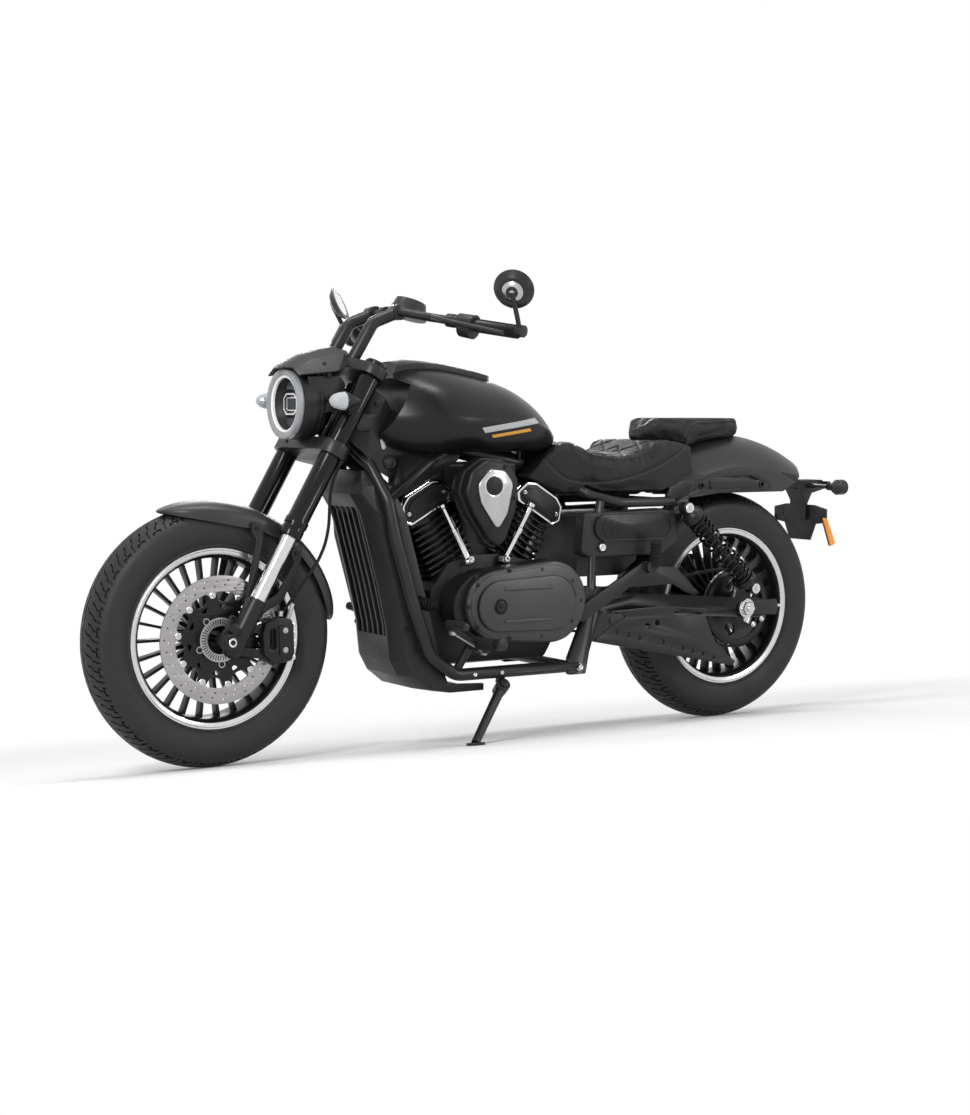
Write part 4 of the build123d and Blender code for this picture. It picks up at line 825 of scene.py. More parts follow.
def makeFork():
    outers, inners, lugs, bolts, seams = [], [], [], [], []
    x0, z0 = frontAxle
    for side in (1, -1):
        y = side * fork["half"]
        place = forkPlace(y)
        outers.append(turned(fork["outer"], place, 56))
        inners.append(turned(fork["inner"], place, 56))
        boss = [(r, side * out) for r, out in fork["boss"]]
        lugs += [turned(fork["lug"], place, 48),
                 turned(boss, acrossBike(x0, y, z0), 40),
                 plate(rounded(fork["web"], 8), 30, onSide(0, y - side, 0), edge=3),
                 plate(rounded(fork["pinch"], 5), 12, onSide(0, y + side * 22, 0), edge=2)]
        end = facing(x0, y, z0, (0, side, 0))
        bolts.append(turned([(6.4, 24), (10.6, 24), (11.4, 28), (11, 31.6), (9.6, 32.6), (6.4, 32),
                             (6.4, 24)], end, 36))
        lugs.append(turned([(0, 20), (7, 20), (7, 26), (0, 26)], end, 6))
        for up, ahead, part in fork["clampBolts"]:
            seams.append(bolt(facing(*onFork(y * part, up, ahead), (0.866, 0, 0.5)), 6, 6))
        seams.append(turned(fork["clampSeam"], place, 40))
    settle(joined(outers), "fork_outer_tubes_gloss", "forkBlack", "steering", ["fork_outer_tubes"])
    settle(joined(inners), "fork_inner_tubes", "chrome", "steering", ["fork_lowers"])
    settle(joined(lugs), "fork_axle_lugs", "boltBlack", "steering")
    reach = fork["half"] - 1
    bolts.append(rod([(x0, -reach, z0), (x0, reach, z0)], fork["axle"], False))
    settle(joined(bolts), "front_axle_bolts", "machined", "steering", ["front_axle"])
    settle(joined(seams), "fork_yoke_bolts", "boltBlack", "steering")


headlight = {
    "front": 1370,
    "z": 887,
    # (radius, height from the front), turned about the lamp's axis
    "shell": [(70, -16), (84, -20), (88, -23), (88.5, -30), (88.5, -56), (86, -58), (84, -58), (84, -64),
              (87, -65), (87.5, -68), (84, -78), (70, -94), (40, -102), (0, -104), (0, -42), (58, -38),
              (66, -24), (70, -16)],
    "ring": [(84, -20), (87.6, -15), (88, -8), (86, -2), (82, 0), (77, -1), (72.5, -5), (71, -10),
             (71, -16), (84, -20)],
    "halo": [(64, -13), (65, -8), (69.5, -5.5), (72, -8), (71, -14), (65.5, -15), (64, -13)],
    # outlines across the lamp
    "eight": [(-37, -15), (-22, -27), (22, -27), (37, -15), (37, 15), (22, 27), (-22, 27), (-37, 15)],
    "eyes": (-15, -5, 5, 15),
    "fluteGap": 6.2,
    "fluteReach": 60,
    # the ear in the side view, and the slanting line that it folds along
    "ear": [(1337, 955, 3), (1322, 861, 3), (1306, 866, 2), (1276, 868, 8), (1258, 872, 10),
            (1237, 905, 18), (1238, 938, 12), (1252, 956, 6)],
    "earY": 84,
    "fold": (1303, 866, 0.11, 0.42),
}


def boxOutline(x1, z1, x2, z2):
    return [(x1, z1), (x2, z1), (x2, z2), (x1, z2)]


def inLamp(depth):
    return onFront(headlight["front"] + depth, 0, headlight["z"])


def makeHeadlight():
    at = facing(headlight["front"], 0, headlight["z"], (1, 0, 0))
    shell = turned(headlight["shell"], at, 96)
    ring = turned(headlight["ring"], at, 180)
    for vertex in ring.data.vertices:       # fine radial ribs inside the ring's face
        y, z = vertex.co.y, vertex.co.z - headlight["z"]
        if 73 < math.hypot(y, z) < 83 and round(math.degrees(math.atan2(z, y)) / 2) % 2:
            vertex.co.x -= 1.6
    settle(shell, "headlight_shell_satin", "panelBlack", "steering")
    settle(ring, "headlight_ring", "frostedRing", "steering", ["headlight_lens"], smooth=18)
    settle(turned(headlight["halo"], at, 96), "headlight_halo", "lampWhite", "steering")


def makeProjector():
    def eight(wide, high):
        return rounded([(x * wide, y * high) for x, y in headlight["eight"]], 2)

    frames = [plate(eight(1, 1), 6, inLamp(-26), [eight(0.86, 0.84)], 0.8),
              plate(rounded(boxOutline(-27, -17, 27, 17), 5), 4, inLamp(-29),
                    [rounded(boxOutline(-23, -14, 23, 14), 4)], 0.8)]
    settle(joined(frames), "headlight_projector_frame", "chrome", "steering")
    fronts = [plate(eight(0.9, 0.88), 3, inLamp(-32), edge=0.4)]
    for x in headlight["eyes"]:
        fronts.append(plate(rounded(boxOutline(x - 3.4, -13, x + 3.4, 13), 1.5), 5, inLamp(-28.5), edge=1))
    settle(joined(fronts), "headlight_projector_lens", "lampDark", "steering")
    flutes = []
    for side in (1, -1):
        for k in range(-5, 6):
            x = k * headlight["fluteGap"]
            high = math.sqrt(headlight["fluteReach"] ** 2 - x * x)
            outline = rounded(boxOutline(x - 2.6, side * 35, x + 2.6, side * high), 1)
            flutes.append(plate(outline, 6, inLamp(-33), edge=1.6))
    settle(joined(flutes), "headlight_flutes", "fluteGrey", "steering")


def makeLampBrackets():
    brackets = []
    foldX, foldZ, slant, inward = headlight["fold"]
    for side in (1, -1):
        y = side * headlight["earY"]
        ear = plate(rounded(headlight["ear"]), 5, onSide(0, y, 0), edge=1)
        for vertex in ear.data.vertices:
            past = vertex.co.x - (foldX + (vertex.co.z - foldZ) * slant)
            if past > 0:
                vertex.co.y -= side * past * inward
        brackets += [ear, rod([(1262, y, 905), (1262, y + side * 24, 905)], 9, False)]
    settle(joined(brackets), "headlight_brackets", "panelBlack", "steering", ["headlight_shell"])


cowl = {
    # for each line across: the middle, the shoulder crease and the low edge, as (x, y, z)
    "lines": [
        [(1387, 0, 974), (1379, 26, 978), (1367, 52, 976), (1366, 84, 958)],
        [(1372, 0, 984), (1366, 26, 986), (1352, 68, 979), (1350, 86, 960)],
        [(1329, 0, 1009), (1326, 28, 1007), (1319, 63, 997), (1310, 89, 963)],
        [(1280, 0, 1024), (1279, 30, 1022), (1272, 62, 1006), (1284, 91, 966)],
        [(1231, 0, 1031), (1240, 30, 1030), (1226, 60, 1011), (1260, 92, 969)],
        [(1196, 0, 1022), (1200, 26, 1020), (1205, 50, 1006), (1222, 78, 984)],
    ],
    "thick": 4,
}


def sheetOf(lines):
    # a grid of faces through the given points
    bpy.ops.object.select_all(action="DESELECT")
    bpy.ops.mesh.primitive_grid_add(x_subdivisions=len(lines[0]) - 1, y_subdivisions=len(lines) - 1, size=1)
    piece = bpy.context.object
    wide = len(lines[0])
    for k, vertex in enumerate(piece.data.vertices):
        vertex.co = lines[k // wide][k % wide]
    return tidied(piece)


def makeCowl():
    lines = []
    for line in cowl["lines"]:
        lines.append([(x, -y, z) for x, y, z in reversed(line[1:])] + list(line))
    skin = sheetOf(lines)
    shaped(skin, "SOLIDIFY", thickness=cowl["thick"], offset=-1)
    softened(skin, 1.6, 2, 12)
    posts = bothSides(rod([(1290, 74, 958), (1290, 74, 990)], 5, False))
    bolts = bothSides(bolt(facing(1283, 88, 957, (0, 1, 0)), 5, 4))
    settle(joined([skin, posts]), "headlight_cowl_folded", "panelBlack", "steering", ["headlight_cowl"],
           smooth=14)
    settle(bolts, "headlight_cowl_bolts", "boltBlack", "steering")


signals = {
    "y": 198,
    "z": 895,
    "lensFoot": 1298,
    "lens": [(0, -6), (20, -6), (22, -2), (22.4, 8), (20.5, 20), (17.5, 30), (12, 38), (5, 43), (0, 44)],
    "body": [(0, -42), (3, -41), (8, -34), (14, -22), (20, -8), (23, 0), (23, 4), (20, 4), (18, -2),
             (0, -2)],
    "stalkX": 1285,
    "rings": 6,
}


def makeFrontSignals():
    lenses, bodies = [], []
    x = signals["stalkX"]
    for side in (1, -1):
        at = facing(signals["lensFoot"], side * signals["y"], signals["z"], (1, 0, 0))
        lenses.append(turned(signals["lens"], at, 14))
        bodies.append(turned(signals["body"], at, 40))
        bodies.append(rod([(x, side * 90, 897), (x, side * 184, 895)], 8, False))
        for k in range(signals["rings"]):
            ring = [(7, -2), (11.5, -1.6), (11.5, 1.6), (7, 2), (7, -2)]
            bodies.append(turned(ring, acrossBike(x, side * (112 + 9 * k), 896), 24))
    settle(joined(lenses), "front_signal_lenses", "signalLens", "steering", smooth=5)
    settle(joined(bodies), "front_signal_bodies", "boltBlack", "steering", ["front_signals"])


fender = {
    "r": 337,
    "thick": 3.2,
    # angle round the wheel, half width, edge radius
    "stations": [(67.2, 4, 335), (68.6, 24, 328), (71, 42, 318), (75, 60, 307), (80, 71, 296),
                 (88, 78, 284), (100, 80, 277), (115, 80, 285), (132, 80, 296), (148, 79, 296),
                 (160, 76, 296), (167, 68, 300), (171.5, 54, 308), (174.5, 34, 322), (175.8, 12, 333)],
    # the stays, in the side view, and their bolts
    "stayY": 86,
    "stays": [[(1472, 604, 8), (1494, 604, 8), (1497, 578, 8), (1484, 560, 10), (1512, 420, 6),
               (1524, 392, 8), (1506, 384, 8), (1494, 400, 6), (1467, 560, 10), (1466, 580, 8)],
              [(1362, 536, 10), (1384, 540, 10), (1390, 520, 8), (1383, 500, 8), (1430, 424, 12),
               (1478, 402, 10), (1484, 382, 8), (1466, 378, 8), (1412, 408, 14), (1362, 508, 10)]],
    "foot": [(1466, 412), (1500, 424), (1530, 388), (1515, 362), (1470, 372)],
    "bolts": [(1483, 588), (1375, 522)],
}


def makeFender():
    x0, z0 = frontAxle
    lines = []
    for angle, half, edge in fender["stations"]:
        line = []
        for k in range(-8, 9):
            t = k / 8 * pi / 2
            y = half * math.copysign(abs(sin(t)) ** 0.9, t)
            r = edge + (fender["r"] - edge) * max(cos(t), 0) ** 0.55
            a = radians(angle)
            line.append((x0 + r * cos(a), y, z0 + r * sin(a)))
        lines.append(line)
    skin = sheetOf(lines)
    shaped(skin, "SUBSURF", levels=2, render_levels=2)
    shaped(skin, "SOLIDIFY", thickness=fender["thick"], offset=-1)
    settle(skin, "front_fender_skin", "fenderBlack", "steering", ["front_fender"], smooth=50)
    stays, bolts = [], []
    for side in (1, -1):
        y = side * fender["stayY"]
        for outline in fender["stays"]:
            stays.append(plate(rounded(outline), 6, onSide(0, y, 0), edge=1.4))
        stays.append(plate(rounded(fender["foot"], 8), 14, onSide(0, y + side * 6, 0), edge=2))
        for x, z in fender["bolts"]:
            bolts.append(bolt(outwards(x, y + side * 2, z, side), 6, 5))
            stays.append(rod([(x, y - side * 12, z), (x, y + side * 2, z)], 7, False))
    settle(joined(stays), "front_fender_stays", "panelBlack", "steering")
    settle(joined(bolts), "front_fender_bolts", "boltBlack", "steering")


caliper = {
    # outlines in the side view
    "body": [(1470, 358, 6), (1440, 370, 8), (1402, 366, 8), (1394, 350, 6), (1392, 282, 6), (1400, 262, 8),
             (1446, 256, 8), (1474, 280, 8), (1478, 330, 8)],
    "window": (1450, 300, 1450, 336, 8),
    "face": [(1438, 350), (1406, 350), (1402, 276), (1434, 272)],
    "inner": [(1462, 350, 6), (1404, 360, 8), (1396, 276, 6), (1462, 268, 8)],
    "bridges": (350, 276),
    "arms": [[(1562, 342), (1556, 372), (1470, 350), (1452, 372), (1440, 360), (1462, 330)],
             [(1562, 306), (1470, 292), (1436, 262), (1444, 250), (1480, 270), (1570, 288)]],
    "toothFoot": 262,
    "teeth": 5,
    "toothGap": 20,
    "bolts": (338, 290),
}


def makeFrontBrake():
    # body over the disc's rear, its bridge, pads with a saw-toothed edge, and the bracket to the fork
    pieces = [plate(rounded(caliper["body"]), 30, onSide(0, 96, 0), [racetrack(*caliper["window"])], 4),
              plate(rounded(caliper["face"], 8), 8, onSide(0, 112, 0), edge=2.6),
              plate(rounded(caliper["inner"]), 18, onSide(0, 54, 0), edge=4)]
    pieces += [block((30, 60, 22), Matrix.Translation((1412, 76, z)), 5) for z in caliper["bridges"]]
    pieces += [plate(rounded(arm, 6), 10, onSide(0, 94, 0), edge=2) for arm in caliper["arms"]]
    settle(joined(pieces), "front_caliper_body", "boltBlack", "steering", ["front_caliper"])
    teeth = [(1386, caliper["toothFoot"] - 4)]
    for k in range(caliper["teeth"]):
        z = caliper["toothFoot"] + k * caliper["toothGap"]
        teeth += [(1378, z), (1378, z + 8), (1386, z + 11), (1386, z + 17)]
    teeth += [(1378, 366), (1396, 366), (1396, caliper["toothFoot"] - 4)]
    comb = plate(rounded(teeth, 1.5), 4, onSide(0, 84, 0), edge=0.6)
    settle(comb, "front_caliper_pad_plate", "machined", "steering")
    bits = [bolt(facing(1420, 116, z, (0, 1, 0)), 5.5, 5) for z in caliper["bolts"]]
    bits.append(rod([(1408, 104, 366), (1404, 112, 384), (1398, 112, 402)], 5))
    bits.append(rod([(1426, 100, 372), (1424, 100, 384)], 6, False))
    settle(joined(bits), "front_caliper_fittings", "castAlloy", "steering")


makeFork()
makeHeadlight()
makeProjector()
makeLampBrackets()
makeCowl()
makeFrontSignals()
makeFender()
makeFrontBrake()
print("front end ready")


# tank, seats and rear end

tankStripes = {
    # in metres: where the line starts and ends, its height, half its width, and its colour
    "silver": {"from": 0.690, "to": 0.905, "height": 0.836, "half": 0.0075,
               "colour": (0.40, 0.41, 0.42, 1)},
    "gold": {"from": 0.724, "to": 0.868, "height": 0.816, "half": 0.0042, "colour": (0.62, 0.30, 0.04, 1)},
    "middle": 0.79,         # how far forward the heights are given
    "rise": 0.13,
    "slant": 0.9,
    "bareTop": 0.05,
}


def paintStripes(material):
    tree = material.node_tree
    shader = tree.nodes["Principled BSDF"]
    where = added(tree, "TexCoord")
    # back to the upright motorcycle, still in metres
    upright = added(tree, "Mapping", {"Vector": where.outputs["Object"],
                                      "Location": bikePlace.to_translation(),
                                      "Rotation": bikePlace.to_euler()}, vector_type="TEXTURE")
    along, across, up = added(tree, "SeparateXYZ", {0: upright.outputs["Vector"]}).outputs
    height = maths(tree, "MULTIPLY_ADD", along, tankStripes["rise"], up)
    slanted = maths(tree, "MULTIPLY_ADD", up, -tankStripes["slant"], along)
    wide = maths(tree, "ABSOLUTE", across)
    base = shader.inputs["Base Color"].links[0].from_socket
    for name in ("silver", "gold"):
        line = tankStripes[name]
        middle = line["height"] + tankStripes["rise"] * tankStripes["middle"]
        shift = -tankStripes["slant"] * line["height"]
        mask = maths(tree, "GREATER_THAN", wide, tankStripes["bareTop"])
        for kind, socket, limit in (("GREATER_THAN", height, middle - line["half"]),
                                    ("LESS_THAN", height, middle + line["half"]),
                                    ("GREATER_THAN", slanted, line["from"] + shift),
                                    ("LESS_THAN", slanted, line["to"] + shift)):
            mask = maths(tree, "MULTIPLY", mask, maths(tree, kind, socket, limit))
        mix = added(tree, "Mix", {"Factor": mask, "A": base, "B": line["colour"]}, data_type="RGBA")
        base = mix.outputs["Result"]
    tree.links.new(base, shader.inputs["Base Color"])
    return material


materials["tankPaint"] = paintStripes(plainFinish("tankPaint", *finishes["tankBlack"]))
nodes["fuel_tank"].data.materials[0] = materials["tankPaint"]

seats = {
    # what it replaces, how far it is drawn in first, how far a point may swell, cloth pressure, seam
    "rider": {"node": "rider_seat", "shrink": 0.004, "cap": 0.007, "pressure": 4,
              "seam": [(660, 770), (639, 743), (612, 712), (578, 689), (489, 680), (372, 702), (280, 738),
                       (196, 786)]},
    "pillion": {"node": "pillion_seat", "shrink": 0.006, "cap": 0.010, "pressure": 4,
                "seam": [(172, 770), (178, 790), (167, 818), (152, 833), (110, 839), (0, 841), (-66, 840)]},
    "voxel": 0.0055,
    "frames": 20,
    "cloth": {"quality": 5, "mass": 0.3, "tension_stiffness": 25, "compression_stiffness": 25,
              "bending_stiffness": 2, "use_pressure": True},
    "thread": 0.55,
    # the rider's seat: channels this far apart, how deep and wide, how they bend, and where they lie
    "quilt": {"gap": 52, "depth": 3.4, "width": 3.4, "bend": 0.0026, "middle": 370, "reach": 250},
}


def withNormals(piece):
    # all normals are read before any vertex moves
    return list(zip(piece.data.vertices, [vertex.normal.copy() for vertex in piece.data.vertices]))


def seatCloth(seat):
    # the seat's solid, drawn in a little, blown up as cloth and held near where it was
    source = nodes[seat["node"]]
    pad = bpy.data.objects.new(seat["node"] + "Pad", source.data.copy())
    scene.collection.objects.link(pad)
    pick(pad)
    pad.data.remesh_voxel_size = seats["voxel"]
    bpy.ops.object.voxel_remesh()
    shaped(pad, "SMOOTH", factor=0.5, iterations=3)
    for vertex, normal in withNormals(pad):
        vertex.co -= normal * seat["shrink"]
    start = [vertex.co.copy() for vertex in pad.data.vertices]
    cloth = pad.modifiers.new("cloth", "CLOTH")
    for key, value in seats["cloth"].items():
        setattr(cloth.settings, key, value)
    cloth.settings.uniform_pressure_force = seat["pressure"]
    cloth.settings.effector_weights.gravity = 0
    cloth.collision_settings.use_collision = False
    cloth.point_cache.frame_start = 1
    cloth.point_cache.frame_end = seats["frames"]
    for step in range(1, seats["frames"] + 1):
        scene.frame_set(step)
    pick(pad)
    bpy.ops.object.modifier_apply(modifier=cloth.name)
    for vertex, was in zip(pad.data.vertices, start):
        move = vertex.co - was
        if move.length > seat["cap"]:
            vertex.co = was + move.normalized() * seat["cap"]
    scene.frame_set(1)
    shaped(pad, "SUBSURF", levels=1, render_levels=1)
    pad.data.transform(Matrix.Scale(1 / mm, 4) @ bikePlace.inverted())
    return pad


def lineFinder(line):
    # finds how far a point of the side view is from a drawn line
    spots = []
    for (x1, z1), (x2, z2) in zip(line, line[1:]):
        count = max(1, round(math.hypot(x2 - x1, z2 - z1) / 1.5))
        spots += [(x1 + (x2 - x1) * k / count, z1 + (z2 - z1) * k / count) for k in range(count)]
    finder = KDTree(len(spots))
    for k, (x, z) in enumerate(spots):
        finder.insert((x, 0, z), k)
    finder.balance()
    return finder


def smoothLine(points, rounds=3):
    for _ in range(rounds):
        line = [points[0]]
        for (x1, z1), (x2, z2) in zip(points, points[1:]):
            line += [(0.75 * x1 + 0.25 * x2, 0.75 * z1 + 0.25 * z2),
                     (0.25 * x1 + 0.75 * x2, 0.25 * z1 + 0.75 * z2)]
        line.append(points[-1])
        points = line
    return points


def seamAt(line, x):
    for (x1, z1), (x2, z2) in zip(line, line[1:]):
        if min(x1, x2) <= x <= max(x1, x2) and x1 != x2:
            return z1 + (z2 - z1) * (x - x1) / (x2 - x1)
    return line[0][1] if x > line[0][0] else line[-1][1]


def sewn(pad, line, depth=3.0, width=3.2, leastY=40):
    finder = lineFinder(line)
    for vertex, normal in withNormals(pad):
        x, y, z = vertex.co
        if abs(y) > leastY and abs(normal.y) > 0.12:
            near = finder.find((x, 0, z))[2]
            if near < 3 * width:
                vertex.co -= normal * depth * math.exp(-(near / width) ** 2)


def quilted(pad, seam):
    # channels across the rider's seat: two crossing families of curved lines
    quilt = seats["quilt"]
    gap = quilt["gap"]
    heights = {x: seamAt(seam, x) for x in range(-200, 800)}
    for vertex, normal in withNormals(pad):
        x, y, z = vertex.co
        if normal.z < 0.25:
            continue
        above = z - heights[round(x)] if abs(y) > 90 else 40
        inside = quilt["reach"] - abs(x - quilt["middle"])
        fade = max(0, min(1, (above - 8) / 12)) * max(0, min(1, inside / 20))
        if fade <= 0:
            continue
        drop = 0
        for run in (x + quilt["bend"] * y * y + 0.22 * abs(y), x - 0.55 * abs(y) + gap / 2):
            near = abs((run / gap) % 1 - 0.5) * gap
            drop = max(drop, math.exp(-((gap / 2 - near) / quilt["width"]) ** 2))
        vertex.co -= normal * quilt["depth"] * drop * fade


def stitches(pad, line, offset=4.5, gap=7.5, long=4.2):
    # short threads laid on both flanks of the pad beside a seam
    curve = tubeCurve("stitches", seats["thread"], 1)
    spots = []
    carry = 0
    for (x1, z1), (x2, z2) in zip(line, line[1:]):
        run = math.hypot(x2 - x1, z2 - z1)
        while carry < run:
            t = carry / run
            nx, nz = -(z2 - z1) / run, (x2 - x1) / run
            side = 1 if nz < 0 else -1
            spots.append((x1 + t * (x2 - x1) + side * nx * offset, z1 + t * (z2 - z1) + side * nz * offset,
                          (x2 - x1) / run, (z2 - z1) / run))
            carry += gap
        carry -= run
    for flank in (1, -1):
        for x, z, dx, dz in spots:
            ends = []
            for end in (-long / 2, long / 2):
                hit, spot, normal, _ = pad.ray_cast(Vector((x + dx * end, flank * 400, z + dz * end)),
                                                    Vector((0, -flank, 0)))
                if hit:
                    ends.append(spot + normal * 0.25)
            if len(ends) == 2 and (ends[0] - ends[1]).length < 2.2 * long:
                addLine(curve, ends)
    return meshed(curve)


def makeSeats():
    riderSeam = smoothLine(seats["rider"]["seam"])
    pad = seatCloth(seats["rider"])
    quilted(pad, riderSeam)
    sewn(pad, riderSeam)
    bpy.context.view_layer.update()
    threads = stitches(pad, riderSeam)
    settle(threads, "rider_seat_stitching", "thread", "chassis", smooth=60)
    settle(pad, "rider_seat_padded", "seatLeather", "chassis", ["rider_seat"], smooth=180)
    pillionSeam = smoothLine(seats["pillion"]["seam"], 2)
    pad = seatCloth(seats["pillion"])
    sewn(pad, pillionSeam, 2.6, 3)
    bpy.context.view_layer.update()
    threads = stitches(pad, pillionSeam, -4.5)
    settle(threads, "pillion_seat_stitching", "thread", "chassis", smooth=60)
    settle(pad, "pillion_seat_padded", "seatLeather", "chassis", ["pillion_seat"], smooth=180)


tail = {
    "strutY": 141,
    "strutHoles": [(155, 669), (-60, 669)],
    "inlay": [(122, 657), (128, 683), (10, 689), (-36, 682), (-36, 664), (10, 660)],
    "edging": [(208, 640), (196, 652), (172, 690), (120, 698), (-20, 700), (-70, 692), (-96, 668),
               (-76, 670), (-20, 694), (116, 692), (168, 682), (196, 640)],
    "signal": (-333, 168, 656),
    "neckRings": 4,
    "reflector": [(-310, 568), (-327, 563), (-360, 492), (-343, 482)],
    "reflectorY": 119.5,
    "reflectorBars": 9,
    "lamp": (-391, 0, 659),
}


def makeRearEnd():
    inlays, sockets, signals, lenses, bars = [], [], [], [], []
    signalX, signalY, signalZ = tail["signal"]
    for side in (1, -1):
        y = side * tail["strutY"]
        inlays.append(plate(rounded(tail["inlay"], 5), 5, onSide(0, y + side * 0.6, 0), edge=1.6))
        inlays.append(plate(rounded(tail["edging"], 3), 4, onSide(0, y - side, 0), edge=1.2))
        for x, z in tail["strutHoles"]:
            ring = [(5.4, 0), (5.4, 4), (6.2, 4.6), (9, 4.2), (9.6, 3), (9.6, -1), (5.4, -1), (5.4, 0)]
            sockets.append(turned(ring, outwards(x, y, z, side), 28))
        at = facing(signalX, side * (signalY - 18), signalZ, (0, side, 0))
        signals.append(turned([(0, -4), (9, -4), (10, 0), (9, 6), (8, 8), (0, 8)], at, 32))
        at = facing(signalX, side * signalY, signalZ, (1, 0, 0))
        signals.append(turned([(0, -12), (19, -12), (21.4, -9), (22, 0), (21, 10), (16, 22), (10, 31),
                               (5, 36), (0, 37)], at, 40))
        lenses.append(turned([(0, -13.4), (14, -13), (18.4, -11.6), (18.4, -10), (0, -10)], at, 32))
        for k in range(tail["neckRings"]):
            at = acrossBike(signalX, side * (signalY - 50 + 7 * k), signalZ)
            signals.append(turned([(7.4, -1.6), (11, -1.2), (11, 1.2), (7.4, 1.6), (7.4, -1.6)], at, 24))
        bars.append(plate(rounded(tail["reflector"], 6), 5, onSide(0, side * tail["reflectorY"], 0),
                          edge=1))
        for k in range(tail["reflectorBars"]):
            t = (k + 0.7) / (tail["reflectorBars"] + 0.6)
            x, y, z = -320 - 31 * t, side * (tail["reflectorY"] + 2.7), 562 - 74 * t
            bars.append(rod([(x - 6.4, y, z - 2.6), (x + 6.4, y, z + 2.6)], 1.3, False))
    settle(joined(inlays), "strut_inlays", "panelBlack", "chassis")
    settle(joined(sockets), "strut_bolt_rings", "boltBlack", "chassis")
    settle(joined(signals), "rear_signal_bodies", "panelBlack", "chassis")
    settle(joined(lenses), "rear_signal_lenses", "amber", "chassis")
    settle(joined(bars), "reflectors_amber", "amber", "chassis")
    lamp = plate(rounded([(-52, -7), (52, -7), (58, 7), (-58, 7)], 5), 8, onFront(*tail["lamp"]), edge=2)
    settle(lamp, "tail_lamp_lens", "tailRed", "chassis")


sideCover = {
    "y": 160,
    "badge": (314, 496, 564, 36),       # from, to, height and radius
    "steps": [(9, 24), (15, 46), (20, 66)],
             # how far each raised step draws in above, and at its ends
    "lock": (505, 512),
}


def makeSideCovers():
    x1, x2, z, r = sideCover["badge"]
    y = sideCover["y"]
    lockX, lockZ = sideCover["lock"]
    rim = plate(racetrack(x1, z, x2, z, r, 16), 10, onSide(0, y + 4, 0),
                [racetrack(x1, z, x2, z, r - 3.4, 16)], 1.5)
    parts = [rim, plate(racetrack(x1, z, x2, z, r - 2, 16), 7, onSide(0, y + 4, 0), edge=1)]
    for k, (drop, inset) in enumerate(sideCover["steps"]):
        outline = racetrack(x1 + inset - drop, z, x2 - inset + drop, z, r - drop, 14)
        parts.append(plate(outline, 3, onSide(0, y + 7.5 + k * 1.1, 0), edge=0.9))
    at = acrossBike(lockX, y, lockZ)
    parts.append(turned([(11, -3), (14, -2), (14.5, 2), (13, 4), (11.2, 4), (11, -3)], at, 36))
    lock = turned([(0, 7), (3, 7), (3.4, 5.8), (9, 6.4), (10.4, 5), (11, 2), (11, -3), (0, -3)], at, 36)
    settle(bothSides(joined(parts)), "side_cover_badges", "boltBlack", "chassis")
    settle(bothSides(lock), "side_cover_locks", "machined", "chassis")


makeSeats()
makeRearEnd()
makeSideCovers()
print("seats and rear end ready")


# engine, shroud and chassis

engine = {
    "crank": (835, 328),
    "leans": {"front": 28.5, "rear": -31.5},
    "fins": 9,
    "firstFin": 176,
    "finGap": 17,
    # corners of the head's six-sided side as (across, up the cylinder, radius)
    "rocker": [(-66, 322, 10), (66, 322, 10), (80, 340, 8), (66, 378, 12), (40, 392, 12), (-40, 392, 12),
               (-66, 378, 12), (-80, 340, 8)],
    "rockerMiddle": 356,
    "head": [(-66, 324, 10), (66, 324, 10), (76, 342, 8), (62, 378, 14), (36, 390, 12), (-36, 390, 12),
             (-62, 378, 14), (-76, 342, 8)],
    "pushrods": {"side": {"front": -1, "rear": 1}, "apart": 32, "y": 98, "foot": 166, "top": 332},
}


def cylinderPlace(name):
    # Z runs up the cylinder and X away from the other one's side, from the crankshaft
    lean = radians(engine["leans"][name])
    return Matrix.Translation((engine["crank"][0], 0, engine["crank"][1])) @ Matrix.Rotation(lean, 4, "Y")


def rockerOutline(wide, high, corner=1):
    # the head's side, drawn in by the two factors
    middle = engine["rockerMiddle"]
    return rounded([(x * wide, middle + (z - middle) * high, r * corner) for x, z, r in engine["rocker"]])


def makeCylinders():
    fins, blacks, chromes, bolts = [], [], [], []
    for name in ("front", "rear"):
        place = cylinderPlace(name)
        for k in range(engine["fins"]):
            wide = 76 if k < 7 else 70
            outline = rounded([(-wide, -wide), (wide, -wide), (wide, wide), (-wide, wide)], 24)
            up = Matrix.Translation((0, 0, engine["firstFin"] + engine["finGap"] * k))
            fins.append(plate(outline, 5.6, place @ up, edge=1.5))
        fins.append(turned([(0, 150), (64, 150), (64, 332), (0, 332)], place, 40))
        # rocker cover: a six-sided chrome rim round a black middle, on both sides of the head
        for side in (1, -1):
            face = place @ onSide(0, side * 76, 0)
            chromes.append(plate(rockerOutline(1, 1), 20, face, [rockerOutline(0.9, 0.83)], 3))
            blacks.append(plate(rockerOutline(0.92, 0.86), 14, face, edge=1))
            blacks.append(plate(rockerOutline(0.76, 0.62, 0.8), 22, face, edge=4))
            for x in (-58, 58):
                turn = Matrix.Rotation(pi, 4, "X") if side > 0 else Matrix()
                bolts.append(bolt(face @ Matrix.Translation((x, 352, side * -10)) @ turn, 4.4, 4))
        blacks.append(plate(rounded(engine["head"]), 134, place @ onSide(0, 0, 0), edge=5))
    settle(joined(fins), "cylinder_fins", "finBlack", "chassis", ["cylinders"])
    settle(joined(blacks), "rocker_covers_black", "engineBlack", "chassis")
    settle(joined(chromes), "rocker_cover_rims", "chrome", "chassis")
    settle(joined(bolts), "rocker_cover_bolts", "machined", "chassis")


